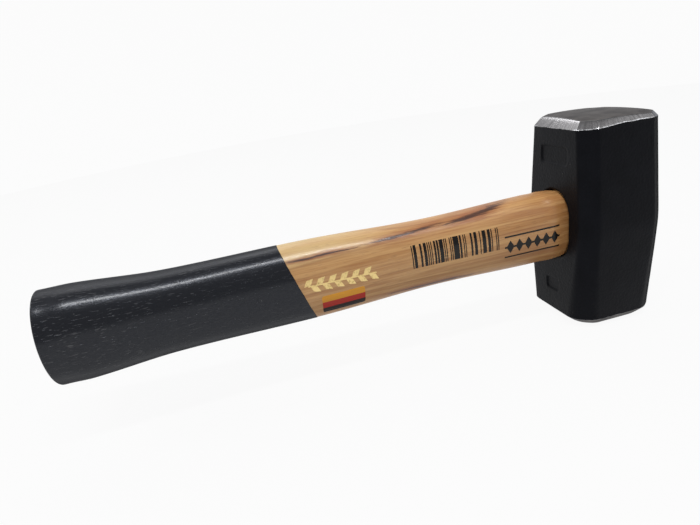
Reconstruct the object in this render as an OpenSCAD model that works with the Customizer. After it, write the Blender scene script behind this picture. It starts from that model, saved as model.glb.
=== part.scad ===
// Two-faced drilling hammer on a short oval handle.
// The head stands on its lower striking face. Z runs up through both faces, the handle
// points along -X, and the cheeks look along Y. The origin is the middle of the lower face.

/* [Head] */
// Length of the head between its two striking faces
head_l = 100; // [90:1:120]
// Size of the head along the handle, at mid height
head_x = 42.8; // [40:0.2:46]
// Size of the head along the handle, where the paint ends
end_x = 41.6; // [39:0.2:44]
// Width over the cheeks, at mid height
head_y = 50; // [46:0.5:56]
// Width over the cheeks, where the paint ends
end_y = 42.6; // [40:0.2:46]
// Size of a striking face along the handle, level with its flat centre
face_x = 33.2; // [32:0.2:38]
// Width of a striking face, level with its flat centre
face_y = 38.2; // [34:0.2:40]
// Height of the ground bevel at each end
bevel_h = 4.3; // [2:0.1:7]
// Distance from the head's axis to a corner facet, at mid height
corner_mid = 28.9; // [27:0.1:31]
// Distance from the head's axis to a corner facet, where the paint ends
corner_end = 25.4; // [24:0.1:27]
// Distance from the head's axis to the corner edge of a striking face
corner_face = 21.5; // [20:0.1:23]
// Direction that a corner facet looks in, turned from the handle's line
corner_turn = 52; // [47:1:57]
// Radius of the flat centre of a striking face
land_r = 15; // [13:0.5:16]
// Radius of the crown round that flat centre
crown_r = 120; // [80:5:400]

/* [Eye] */
// Height of the eye at its waist
eye_h = 31.6; // [28:0.2:36]
// Width of the eye at its waist
eye_w = 22; // [18:0.2:25]
// Growth of the eye on each side, from its waist to each mouth
eye_flare = 1; // [0.4:0.1:2]
// Depth of the open rim of each mouth
rim_depth = 1.6; // [0.8:0.1:3]
// Growth of that rim on each side
rim_flare = 1.2; // [0.4:0.1:2]

/* [Stamped panels] */
// Width of the upper panel, which stays bare
upper_panel_w = 19.6; // [12:0.2:24]
// Height of the upper panel
upper_panel_h = 8.4; // [6:0.2:10]
// Height of the upper panel's middle above the handle's axis
upper_panel_up = 33.4; // [30:0.2:36]
// Width of the lower panel, which stays bare
lower_panel_w = 10.2; // [8:0.2:18]
// Height of the lower panel
lower_panel_h = 6.6; // [5:0.2:9]
// Depth of the lower panel's middle below the handle's axis
lower_panel_down = 32.2; // [29:0.2:36]
// Corner radius of both panels
panel_r = 1.6; // [0.6:0.1:2.4]
// Depth of both panels
panel_depth = 0.6; // [0.3:0.1:1.2]

/* [Handle] */
// Length of the handle from its butt to the head
handle_l = 231; // [200:1:290]
// Height over the flared butt
butt_h = 40.8; // [36:0.2:46]
// Width over the flared butt
butt_w = 32; // [28:0.2:37]
// Distance from the butt's end to its thickest place
butt_at = 6; // [4:0.5:12]
// Height where the flare runs out
heel_h = 35.6; // [32:0.2:40]
// Width where the flare runs out
heel_w = 27.4; // [23:0.2:32]
// Distance from the butt's end to where the flare runs out
heel_at = 48; // [36:1:60]
// Height under the fingers
palm_h = 35.6; // [30:0.2:39]
// Width under the fingers
palm_w = 25.4; // [21:0.2:29]
// Distance from the butt's end to the middle of the fingers
palm_at = 112; // [90:1:125]
// Height of the slim waist
waist_h = 31.8; // [28:0.2:36]
// Width of the slim waist
waist_w = 23.6; // [20:0.2:27]
// Distance from the slim waist to the head
waist_to_head = 66; // [50:1:75]
// Height of the swell beside the head
swell_h = 34; // [30:0.2:38]
// Width of the swell beside the head
swell_w = 24.4; // [21:0.2:28]
// Distance from that swell to the head
swell_to_head = 17; // [10:1:28]
// Radius of the rim round the butt's end
butt_r = 1.6; // [1:0.2:5]
// Height of the dome on the butt's end
butt_dome = 1; // [0.4:0.1:2]
// Length of tenon that stands out behind the head
tenon_out = 1.5; // [0:0.1:4]
// Squareness of the handle's section, where 2 is an ellipse
section_power = 2.2; // [2:0.05:2.6]

/* [Wedges] */
// Length of the wooden wedge
wedge_l = 30; // [20:1:38]
// Thickness of the wooden wedge at its outer end
wedge_t = 4.2; // [3:0.1:6]
// Thickness of the wooden wedge at its tip
wedge_tip_t = 0.8; // [0.4:0.1:1.4]
// Length of open saw kerf beyond the wedge's tip
kerf_rest = 3; // [1:0.5:4]
// Outer diameter of the ring wedge at its outer end
ring_d = 16; // [12:0.2:18]
// Outer diameter of the ring wedge at its cutting edge
ring_edge_d = 14.8; // [11:0.2:17]
// Wall of the ring wedge at its outer end
ring_wall = 1.8; // [1.2:0.1:2.4]
// Wall of the ring wedge at its cutting edge
ring_edge_wall = 0.5; // [0.3:0.1:1]
// Length of the ring wedge
ring_l = 12; // [8:0.5:16]

/* [Grip coating] */
// Length of the coating from the butt, along the handle's axis
grip_l = 103; // [70:1:120]
// Slant of the coating's edge, which lies nearer the butt on top
grip_slant = 18; // [0:1:25]
// Thickness of the dipped coating
film_t = 0.25; // [0.15:0.05:0.6]

/* [Fits] */
// Gap between the tenon and the eye
tenon_gap = 0.1; // [0.05:0.01:0.2]
// Gap round each wedge
wedge_gap = 0.05; // [0.03:0.01:0.1]

/* [Hidden] */

$fn = 96;
// Anything that cuts right through a piece is this long
through = 200;

// Head, measured from its middle
head_mid = head_l / 2;
paint_z = head_mid - bevel_h;
front_lean = atan((head_x - end_x) / 2 / paint_z);
corner_lean = atan((corner_mid - corner_end) / paint_z);
corner_bevel_lean = atan((corner_end - corner_face) / bevel_h);
corner_turns = [corner_turn, 180 - corner_turn, 180 + corner_turn, -corner_turn];

// The eye is an oval with straight flanks and round ends
eye_straight = (eye_h - eye_w) / 2;
eye_waist_r = eye_w / 2;
eye_mouth_r = eye_waist_r + eye_flare;

// Handle, measured along X from the head's middle
mouth_x = -head_x / 2;
tenon_end = head_x / 2 + tenon_out;
tenon_waist_r = eye_waist_r - tenon_gap;
tenon_mouth_r = eye_mouth_r - tenon_gap;
kerf_end = tenon_end - wedge_l - kerf_rest;

// Stations along the handle: distance from the butt, half height, half width
stations = [
    [butt_at, butt_h / 2, butt_w / 2],
    [heel_at, heel_h / 2, heel_w / 2],
    [palm_at, palm_h / 2, palm_w / 2],
    [handle_l - waist_to_head, waist_h / 2, waist_w / 2],
    [handle_l - swell_to_head, swell_h / 2, swell_w / 2],
    [handle_l, eye_straight + tenon_mouth_r, tenon_mouth_r]
];

// Sides of the swept handle and its rings
sides = 40;
rim_rings = 4;
grip_rings = 13;
neck_rings = 14;
dome_share = 0.6;
tenon_chamfer = 0.6;
oval_blend_l = 14;

// Slope of a profile at station i, for column k
function slope(i, k) =
    let (last = len(stations) - 1, a = max(i - 1, 0), b = min(i + 1, last))
    (i == 0 || i == last) ? 0
        : (stations[b][k] - stations[a][k]) / (stations[b][0] - stations[a][0]);

// Station whose stretch holds distance s
function stretch(s, i = 0) =
    (i >= len(stations) - 2 || s < stations[i + 1][0]) ? i : stretch(s, i + 1);

// Half height (k = 1) or half width (k = 2) at distance s from the butt
function along(s, k) =
    let (
        i = stretch(s),
        from = stations[i],
        to = stations[i + 1],
        run = to[0] - from[0],
        u = min(max((s - from[0]) / run, 0), 1)
    )
    from[k] * (2 * u * u * u - 3 * u * u + 1)
        + to[k] * (3 * u * u - 2 * u * u * u)
        + run * slope(i, k) * (u * u * u - 2 * u * u + u)
        + run * slope(i + 1, k) * (u * u * u - u * u);

function ease(a, b, s) =
    let (u = min(max((s - a) / (b - a), 0), 1)) u * u * (3 - 2 * u);

// Rounded power of a sine or cosine, which squares an ellipse up a little
function squared(c) = sign(c) * pow(abs(c), 2 / section_power);

// Radius of the tenon's round ends at a distance x from the head's middle
function tenon_r(x) =
    tenon_waist_r + (tenon_mouth_r - tenon_waist_r) * abs(x) / (head_x / 2);

// Half sizes of the wood at distance s from the butt, less an inset
function half_h(s, inset) =
    (s <= handle_l ? along(s, 1) : eye_straight + tenon_r(s - handle_l + mouth_x)) - inset;
function half_w(s, inset) =
    (s <= handle_l ? along(s, 2) : tenon_r(s - handle_l + mouth_x)) - inset;

// Share of the grip edge's slant that a ring at distance s takes
function slant_share(s) = ease(butt_at, grip_l, s) * (1 - ease(grip_l, handle_l - waist_to_head, s));

// One point of the handle's surface. A ring is [distance, scale, inset, back, out],
// where back and out are the shares of a coating's thickness that move it.
function skin_point(ring, turn, coat) =
    let (
        s0 = ring[0],
        rise = half_h(s0, ring[2]) * ring[1] * squared(sin(turn)),
        s = s0 - slant_share(s0) * tan(grip_slant) * rise,
        h = half_h(s, ring[2]) * ring[1] + coat * ring[4],
        w = half_w(s, ring[2]) * ring[1] + coat * ring[4],
        oval = ease(handle_l - oval_blend_l, handle_l - rim_depth, s),
        y_round = w * squared(cos(turn)),
        z_round = h * squared(sin(turn)),
        y_flat = w * cos(turn),
        z_flat = sign(sin(turn)) * (h - w) + w * sin(turn)
    )
    [
        s - coat * ring[3] - handle_l + mouth_x,
        y_round + (y_flat - y_round) * oval,
        z_round + (z_flat - z_round) * oval
    ];

function skin_ring(ring, coat) =
    [for (i = [0 : sides - 1]) skin_point(ring, 360 * i / sides, coat)];

butt_rings = concat(
    [[butt_dome * dome_share * dome_share, dome_share, butt_r, 1, 0]],
    [for (i = [0 : rim_rings])
        let (a = 90 * i / rim_rings)
        [butt_dome + butt_r * (1 - cos(a)), 1, butt_r * (1 - sin(a)), cos(a), sin(a)]]
);
grip_start = butt_dome + butt_r;
coated_rings = concat(
    butt_rings,
    [for (i = [1 : grip_rings]) [grip_start + (grip_l - grip_start) * i / grip_rings, 1, 0, 0, 1]]
);
tenon_l = tenon_end - mouth_x;
bare_rings = concat(
    [for (i = [1 : neck_rings]) [grip_l + (handle_l - grip_l) * i / neck_rings, 1, 0, 0, 1]],
    [
        [handle_l + head_x / 2, 1, 0, 0, 1],
        [handle_l + tenon_l - tenon_chamfer, 1, 0, 0, 1],
        [handle_l + tenon_l, 1, tenon_chamfer, 0, 1]
    ]
);

// Points of a closed sweep: the middle of the butt, then ring after ring
function skin_points(rings, coat) =
    concat(
        [[mouth_x - handle_l - coat, 0, 0]],
        [for (ring = rings) each skin_ring(ring, coat)]
    );

// Triangles of the butt's fan and of the bands between rings, from point first on
function skin_faces(count, first, flip) =
    let (
        fan = [for (i = [0 : sides - 1]) [first, first + 1 + i, first + 1 + (i + 1) % sides]],
        bands = [for (k = [0 : count - 2], i = [0 : sides - 1])
            let (
                a = first + 1 + k * sides + i,
                b = first + 1 + k * sides + (i + 1) % sides
            )
            each [[a, a + sides, b + sides], [a, b + sides, b]]]
    )
    [for (f = concat(fan, bands)) flip ? [f[0], f[2], f[1]] : f];

// A solid that narrows from from_r at x = from_x to to_r at x = to_x, with the eye's flanks
module tapered_oval(from_x, to_x, from_r, to_r) {
    for (side = [-1, 1])
        translate([from_x, 0, side * eye_straight])
            rotate([0, 90, 0])
                cylinder(h = to_x - from_x, r1 = from_r, r2 = to_r);
    translate([0, 0, -eye_straight])
        linear_extrude(height = 2 * eye_straight)
            polygon([[from_x, -from_r], [to_x, -to_r], [to_x, to_r], [from_x, from_r]]);
}

// Everything on the far side of a plane that leans in as it rises
module beyond(distance, lean, height, turn) {
    rotate([0, 0, turn])
        translate([distance, 0, height])
            rotate([0, -lean, 0])
                translate([0, -through / 2, -through / 2])
                    cube(through);
}

// Outline of half the head, seen along a level axis
module half_outline(mid, painted, face) {
    polygon([
        [-mid / 2, 0],
        [mid / 2, 0],
        [painted / 2, paint_z],
        [face / 2, head_mid],
        [-face / 2, head_mid],
        [-painted / 2, paint_z]
    ]);
}

// Upper half of the solid head, with its bevels, corner facets and crowned face
module half_head() {
    difference() {
        intersection() {
            rotate([90, 0, 0])
                translate([0, 0, -through / 2])
                    linear_extrude(height = through)
                        half_outline(head_x, end_x, face_x);
            rotate([90, 0, 90])
                translate([0, 0, -through / 2])
                    linear_extrude(height = through)
                        half_outline(head_y, end_y, face_y);
            translate([0, 0, head_mid - sqrt(crown_r * crown_r - land_r * land_r)])
                sphere(r = crown_r);
        }
        for (turn = corner_turns) {
            beyond(corner_mid, corner_lean, 0, turn);
            beyond(corner_end, corner_bevel_lean, paint_z, turn);
        }
    }
}

// Rounded plate that cuts a shallow panel into the handle side of the head
module panel_cut(w, h, up) {
    lean = up > 0 ? front_lean : -front_lean;
    surface_x = mouth_x + abs(up) * tan(front_lean);
    translate([surface_x + panel_depth, 0, up])
        rotate([0, lean, 0])
            rotate([0, -90, 0]) {
                translate([-h / 2 + panel_r, -w / 2, 0])
                    cube([h - 2 * panel_r, w, 2 * panel_depth]);
                translate([-h / 2, -w / 2 + panel_r, 0])
                    cube([h, w - 2 * panel_r, 2 * panel_depth]);
                for (side = [-1, 1], end = [-1, 1])
                    translate([side * (h / 2 - panel_r), end * (w / 2 - panel_r), 0])
                        cylinder(h = 2 * panel_depth, r = panel_r);
            }
}

module eye_cut() {
    mouth = head_x / 2;
    straight_end = mouth - rim_depth;
    end_r = eye_mouth_r - eye_flare * rim_depth / mouth;
    overrun = 1;
    open_r = end_r + (rim_flare + eye_flare * rim_depth / mouth) * (rim_depth + overrun) / rim_depth;
    for (side = [0, 1])
        mirror([side, 0, 0]) {
            tapered_oval(0, straight_end, eye_waist_r, end_r);
            tapered_oval(straight_end, mouth + overrun, end_r, open_r);
        }
}

module head() {
    color("#232529")
        translate([0, 0, head_mid])
            difference() {
                for (side = [0, 1])
                    mirror([0, 0, side])
                        half_head();
                eye_cut();
                panel_cut(upper_panel_w, upper_panel_h, upper_panel_up);
                panel_cut(lower_panel_w, lower_panel_h, -lower_panel_down);
            }
}

// Flat wedge shape along the handle, grown by a gap on each side and lengthened at its tip
module wedge_shape(gap, rest) {
    tip_x = tenon_end - wedge_l;
    translate([0, 0, -through / 2])
        linear_extrude(height = through)
            polygon([
                [tip_x - rest, -wedge_tip_t / 2 - gap],
                [tip_x, -wedge_tip_t / 2 - gap],
                [tenon_end, -wedge_t / 2 - gap],
                [tenon_end + rest, -wedge_t / 2 - gap],
                [tenon_end + rest, wedge_t / 2 + gap],
                [tenon_end, wedge_t / 2 + gap],
                [tip_x, wedge_tip_t / 2 + gap],
                [tip_x - rest, wedge_tip_t / 2 + gap]
            ]);
}

// Conical ring, grown by a gap all round and lengthened at its outer end
module ring_shape(gap, rest) {
    translate([tenon_end, 0, 0])
        rotate([0, 90, 0])
            rotate_extrude()
                polygon([
                    [ring_edge_d / 2 - ring_edge_wall - gap, -ring_l - gap],
                    [ring_edge_d / 2 + gap, -ring_l - gap],
                    [ring_d / 2 + gap, 0],
                    [ring_d / 2 + gap, rest],
                    [ring_d / 2 - ring_wall - gap, rest],
                    [ring_d / 2 - ring_wall - gap, 0]
                ]);
}

module handle() {
    rings = concat(coated_rings, bare_rings);
    last = len(rings) * sides;
    end_face = [[for (i = [0 : sides - 1]) last - i]];
    color("#d8a868")
        translate([0, 0, head_mid])
            difference() {
                polyhedron(
                    points = skin_points(rings, 0),
                    faces = concat(skin_faces(len(rings), 0, false), end_face),
                    convexity = 4
                );
                wedge_shape(wedge_gap, kerf_rest);
                ring_shape(wedge_gap, kerf_rest);
            }
}

module wooden_wedge() {
    color("#c49a6c")
        translate([0, 0, head_mid])
            difference() {
                intersection() {
                    wedge_shape(0, 0);
                    for (side = [0, 1])
                        mirror([side, 0, 0])
                            tapered_oval(0, tenon_end, tenon_waist_r, tenon_r(tenon_end));
                }
                ring_shape(wedge_gap, kerf_rest);
            }
}

module ring_wedge() {
    color("#9a9da1")
        translate([0, 0, head_mid])
            ring_shape(0, 0);
}

module grip_coating() {
    rings = coated_rings;
    shell_points = 1 + len(rings) * sides;
    outer_edge = shell_points - sides;
    inner_edge = outer_edge + shell_points;
    edge_faces = [for (i = [0 : sides - 1])
        let (j = (i + 1) % sides)
        each [
            [outer_edge + i, inner_edge + i, inner_edge + j],
            [outer_edge + i, inner_edge + j, outer_edge + j]
        ]];
    color("#1b1c1e")
        translate([0, 0, head_mid])
            polyhedron(
                points = concat(skin_points(rings, film_t), skin_points(rings, 0)),
                faces = concat(
                    skin_faces(len(rings), 0, false),
                    skin_faces(len(rings), shell_points, true),
                    edge_faces
                ),
                convexity = 4
            );
}

head();
handle();
wooden_wedge();
ring_wedge();
grip_coating();
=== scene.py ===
"""Looks of a short two-faced drilling hammer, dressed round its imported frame.

The head stands on its lower striking face, Z runs up through both faces and the handle points
along -X. Piece sizes are in millimetres and become metres when a mesh is made.
"""

import logging
import math
from collections.abc import Sequence
from dataclasses import dataclass
from enum import Enum

import bpy
import numpy as np
from mathutils import Matrix, Vector, noise

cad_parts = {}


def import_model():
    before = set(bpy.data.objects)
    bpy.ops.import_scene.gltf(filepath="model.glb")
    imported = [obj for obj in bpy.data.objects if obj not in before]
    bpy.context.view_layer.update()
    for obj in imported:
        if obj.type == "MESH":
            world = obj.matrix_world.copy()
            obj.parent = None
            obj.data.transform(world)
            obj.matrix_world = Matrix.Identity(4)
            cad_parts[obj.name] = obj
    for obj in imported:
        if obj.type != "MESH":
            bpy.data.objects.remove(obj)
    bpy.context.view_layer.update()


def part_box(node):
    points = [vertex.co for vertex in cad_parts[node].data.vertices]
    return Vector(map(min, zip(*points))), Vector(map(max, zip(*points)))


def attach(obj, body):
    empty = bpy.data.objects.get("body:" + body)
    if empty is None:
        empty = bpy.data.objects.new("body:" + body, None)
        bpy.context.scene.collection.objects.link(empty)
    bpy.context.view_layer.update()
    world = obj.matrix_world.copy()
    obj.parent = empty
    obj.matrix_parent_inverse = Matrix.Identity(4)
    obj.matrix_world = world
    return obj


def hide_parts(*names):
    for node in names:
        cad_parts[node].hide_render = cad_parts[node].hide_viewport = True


log = logging.getLogger("hammer")

MM = 0.001
BODY = "root"
SMOOTH_ANGLE = math.radians(32)
NEARLY_ZERO = 1e-9

Face = tuple[int, ...]
Skin = tuple[np.ndarray, list[Face]]
Spot = tuple[float, float, float]
Colour = tuple[float, float, float, float]
Socket = bpy.types.NodeSocket
Sockets = bpy.types.bpy_prop_collection


class Slot(Enum):
    """Material slots of the record, one of which seat() is given with each piece."""

    HEAD = "head_paint"
    HANDLE = "hickory"
    WEDGE_WOOD = "wedge_wood"
    WEDGE_STEEL = "wedge_steel"
    GRIP = "grip_lacquer"


# Mesh making


def place_object(name: str, data: bpy.types.ID) -> bpy.types.Object:
    """Make an object and link it to the scene.

    Args:
        name: Name of the object.
        data: Its mesh, camera or lamp.

    Returns:
        The new object.
    """
    thing = bpy.data.objects.new(name, data)
    bpy.context.scene.collection.objects.link(thing)
    return thing


def make_piece(
    name: str, skin: Skin, rise: float = 0.0, marks: dict[str, np.ndarray] | None = None
) -> bpy.types.Object:
    """Make a mesh object from a skin in millimetres.

    Args:
        name: Name of the object and its mesh.
        skin: One row of x, y, z for each point, and the point numbers of each face, in order
            round its outer side.
        rise: Height added to every point, in millimetres.
        marks: Float attributes by name, with one value for each point.

    Returns:
        The new object, linked to the scene, with its place in its mesh.
    """
    points, faces = skin
    mesh = bpy.data.meshes.new(name)
    placed = (np.asarray(points, float) + (0.0, 0.0, rise)) * MM
    mesh.from_pydata(placed.tolist(), [], [list(face) for face in faces])
    for mark, values in (marks or {}).items():
        layer = mesh.attributes.new(mark, "FLOAT", "POINT")
        layer.data.foreach_set("value", np.asarray(values, np.float32))
    mesh.validate()
    mesh.update()
    return place_object(name, mesh)


def round_turns(count: int) -> np.ndarray:
    """Turns in radians of points that lie evenly round a ring."""
    return np.linspace(0.0, 2.0 * math.pi, count, endpoint=False)


def section(x: float, y: np.ndarray, z: np.ndarray) -> np.ndarray:
    """Row of points that all lie at one place along X."""
    return np.column_stack([np.full_like(y, x), y, z])


def grid_faces(rows: int, columns: int) -> list[Face]:
    """Faces between rows of points that close into rings.

    Args:
        rows: Number of rows.
        columns: Points in a row.

    Returns:
        One quad for each cell, wound so that rows that climb face outwards.
    """
    faces = []
    for r in range(rows - 1):
        for c in range(columns):
            a = r * columns + c
            b = r * columns + (c + 1) % columns
            faces.append((a, b, b + columns, a + columns))
    return faces


def fan_faces(centre: int, first: int, columns: int, flip: bool) -> list[Face]:
    """Triangles from a middle point to a ring of points.

    Args:
        centre: Number of the middle point.
        first: Number of the ring's first point.
        columns: Points in the ring.
        flip: True where the fan faces back along the rows.

    Returns:
        One triangle for each stretch of the ring.
    """
    faces = []
    for c in range(columns):
        a, b = first + c, first + (c + 1) % columns
        faces.append((centre, b, a) if flip else (centre, a, b))
    return faces


def closed_skin(rows: Sequence[np.ndarray], start: Spot, end: Spot) -> Skin:
    """Close rings of points into a skin, with a fan over each end.

    Args:
        rows: The rings, each with the same number of points.
        start: Middle point of the fan over the first ring.
        end: Middle point of the fan over the last ring.

    Returns:
        Points and faces.
    """
    columns = len(rows[0])
    total = len(rows) * columns
    faces = grid_faces(len(rows), columns)
    faces += fan_faces(total, 0, columns, flip=True)
    faces += fan_faces(total + 1, total - columns, columns, flip=False)
    return np.concatenate([*rows, np.array([start, end])]), faces


def baked(piece: bpy.types.Object) -> bpy.types.Object:
    """Turn an object with modifiers into a plain mesh.

    Args:
        piece: The object whose modifiers are used up.

    Returns:
        The same object, with the result as its mesh and no modifiers.
    """
    graph = bpy.context.evaluated_depsgraph_get()
    mesh = bpy.data.meshes.new_from_object(piece.evaluated_get(graph))
    piece.modifiers.clear()
    piece.data = mesh
    return piece


def cut(piece: bpy.types.Object, cutters: Sequence[bpy.types.Object]) -> bpy.types.Object:
    """Take closed cutters out of a closed piece.

    Args:
        piece: The piece that is cut.
        cutters: The shapes to take out, which are removed afterwards.

    Returns:
        The piece as a plain mesh.
    """
    for cutter in cutters:
        step = piece.modifiers.new(cutter.name, "BOOLEAN")
        step.operation = "DIFFERENCE"
        step.solver = "EXACT"
        step.object = cutter
    baked(piece)
    for cutter in cutters:
        bpy.data.objects.remove(cutter)
    return piece


def dress(piece: bpy.types.Object, finish: bpy.types.Material) -> bpy.types.Object:
    """Give a piece its one material and smooth shading, but keep its sharp edges.

    Args:
        piece: The finished mesh.
        finish: Its material.

    Returns:
        The same piece.
    """
    piece.data.materials.clear()
    piece.data.materials.append(finish)
    piece.data.shade_smooth()
    piece.data.set_sharp_from_angle(angle=SMOOTH_ANGLE)
    return piece


def smooth_step(low: float, high: float, value: np.ndarray) -> np.ndarray:
    """Ease from 0 at low to 1 at high, for arrays."""
    u = np.clip((value - low) / (high - low), 0.0, 1.0)
    return u * u * (3.0 - 2.0 * u)


def noise_at(points: np.ndarray, size: float, seed: float = 0.0) -> np.ndarray:
    """Smooth noise from -1 to 1 at points.

    Args:
        points: One row of x, y, z for each point.
        size: Distance over which the noise changes.
        seed: Shift that picks another patch of the noise.

    Returns:
        One value for each point.
    """
    shift = Vector((seed, -seed, 2.0 * seed))
    return np.array([noise.noise(Vector(p) / size + shift) for p in points.tolist()])


# Shader nodes


class Shader:
    """A node tree with short ways to add nodes and join them."""

    def __init__(self, tree: bpy.types.NodeTree) -> None:
        """Wrap a tree."""
        self.tree = tree

    def add(self, kind: str, inputs: dict | None = None, **settings: object) -> bpy.types.Node:
        """Add a node.

        Args:
            kind: Blender's name of the node type.
            inputs: Values or sockets by the name or number of the input.
            **settings: Properties of the node, such as its operation.

        Returns:
            The new node.
        """
        node = self.tree.nodes.new(kind)
        for name, value in settings.items():
            setattr(node, name, value)
        for name, value in (inputs or {}).items():
            self.feed(node.inputs[name], value)
        return node

    def feed(self, socket: Socket, value: object) -> None:
        """Join an input to another socket, or set its own value.

        Args:
            socket: The input.
            value: A socket, or a value of the input's kind.
        """
        if isinstance(value, bpy.types.NodeSocket):
            self.tree.links.new(value, socket)
        else:
            socket.default_value = value

    def fill(self, node: bpy.types.Node, **inputs: object) -> bpy.types.Node:
        """Feed several inputs of a node.

        Args:
            node: The node.
            **inputs: Values or sockets by input name, with underscores for spaces.

        Returns:
            The same node.
        """
        for name, value in inputs.items():
            self.feed(node.inputs[name.replace("_", " ")], value)
        return node

    def math(self, operation: str, *values: object) -> Socket:
        """Result of a Math node on numbers or sockets."""
        inputs = dict(enumerate(values))
        return self.add("ShaderNodeMath", inputs, operation=operation).outputs[0]

    def times(self, first: object, second: object) -> Socket:
        """Product of two numbers or sockets."""
        return self.math("MULTIPLY", first, second)

    def vector(self, operation: str, *values: object) -> Socket:
        """Vector result of a Vector Math node."""
        inputs = dict(enumerate(values))
        return self.add("ShaderNodeVectorMath", inputs, operation=operation).outputs[0]

    def split(self, vector: Socket) -> Sockets:
        """X, Y and Z of a vector, by those names."""
        return self.add("ShaderNodeSeparateXYZ", {0: vector}).outputs

    def join(self, x: object, y: object, z: object) -> Socket:
        """Vector from its three parts."""
        return self.add("ShaderNodeCombineXYZ", {"X": x, "Y": y, "Z": z}).outputs[0]

    def stretch(self, vector: Socket, along: object, across: object) -> Socket:
        """Vector scaled by one number along X and by another across it."""
        return self.vector("MULTIPLY", vector, self.join(along, across, across))

    def noise(
        self, vector: Socket, scale: object, detail: float = 2.0, rough: float = 0.5
    ) -> Socket:
        """Value of a Noise texture at a vector."""
        inputs = {"Vector": vector, "Scale": scale, "Detail": detail, "Roughness": rough}
        return self.add("ShaderNodeTexNoise", inputs).outputs["Fac"]

    def ramp(self, value: Socket, low: object, high: object, ends: tuple = (0.0, 1.0)) -> Socket:
        """Smooth, clamped ramp of a value from low and high to two ends."""
        inputs = {"Value": value, 1: low, 2: high, 3: ends[0], 4: ends[1]}
        return self.add("ShaderNodeMapRange", inputs, interpolation_type="SMOOTHSTEP").outputs[0]

    def mix(self, share: object, first: object, second: object) -> Socket:
        """Blend two colours by a share."""
        inputs = {0: share, 6: first, 7: second}
        return self.add("ShaderNodeMix", inputs, data_type="RGBA").outputs[2]

    def blend(self, share: object, first: object, second: object) -> Socket:
        """Blend two numbers by a share."""
        inputs = {0: share, 2: first, 3: second}
        return self.add("ShaderNodeMix", inputs, data_type="FLOAT").outputs[0]

    def facing(self, low: float, high: float, ends: tuple[float, float]) -> Socket:
        """Ramp from one end where a surface is seen square on, to the other at its outline."""
        turned = self.add("ShaderNodeLayerWeight", {"Blend": 0.5}).outputs["Facing"]
        return self.ramp(turned, low, high, ends)

    def mark(self, name: str) -> Socket:
        """Value of a mesh attribute."""
        return self.add("ShaderNodeAttribute", attribute_name=name).outputs["Fac"]

    def bump(self, height: Socket, strength: float, depth: float) -> Socket:
        """Normal that a height gives, with its depth in metres."""
        inputs = {"Height": height, "Strength": strength, "Distance": depth}
        return self.add("ShaderNodeBump", inputs).outputs["Normal"]

    def group(self, tree: bpy.types.NodeTree, **inputs: object) -> Sockets:
        """Outputs of a shared node group, by name, with its inputs fed as fill() does."""
        return self.fill(self.add("ShaderNodeGroup", node_tree=tree), **inputs).outputs


def open_group(
    name: str, outputs: Sequence[str], **inputs: float | None
) -> tuple[Shader, Sockets, bpy.types.Node]:
    """Start a shared shader node group.

    Args:
        name: Name of the group.
        outputs: Names of the number outputs.
        **inputs: Default value of each number input, or None where the input is a vector, with
            underscores for spaces in its name.

    Returns:
        A Shader on the group's tree, its inputs by name, and its output node.
    """
    tree = bpy.data.node_groups.new(name, "ShaderNodeTree")
    for label, value in inputs.items():
        kind = "NodeSocketVector" if value is None else "NodeSocketFloat"
        words = label.replace("_", " ")
        socket = tree.interface.new_socket(words, in_out="INPUT", socket_type=kind)
        if value is not None:
            socket.default_value = value
    for label in outputs:
        tree.interface.new_socket(label, in_out="OUTPUT", socket_type="NodeSocketFloat")
    shader = Shader(tree)
    return shader, shader.add("NodeGroupInput").outputs, shader.add("NodeGroupOutput")


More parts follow.
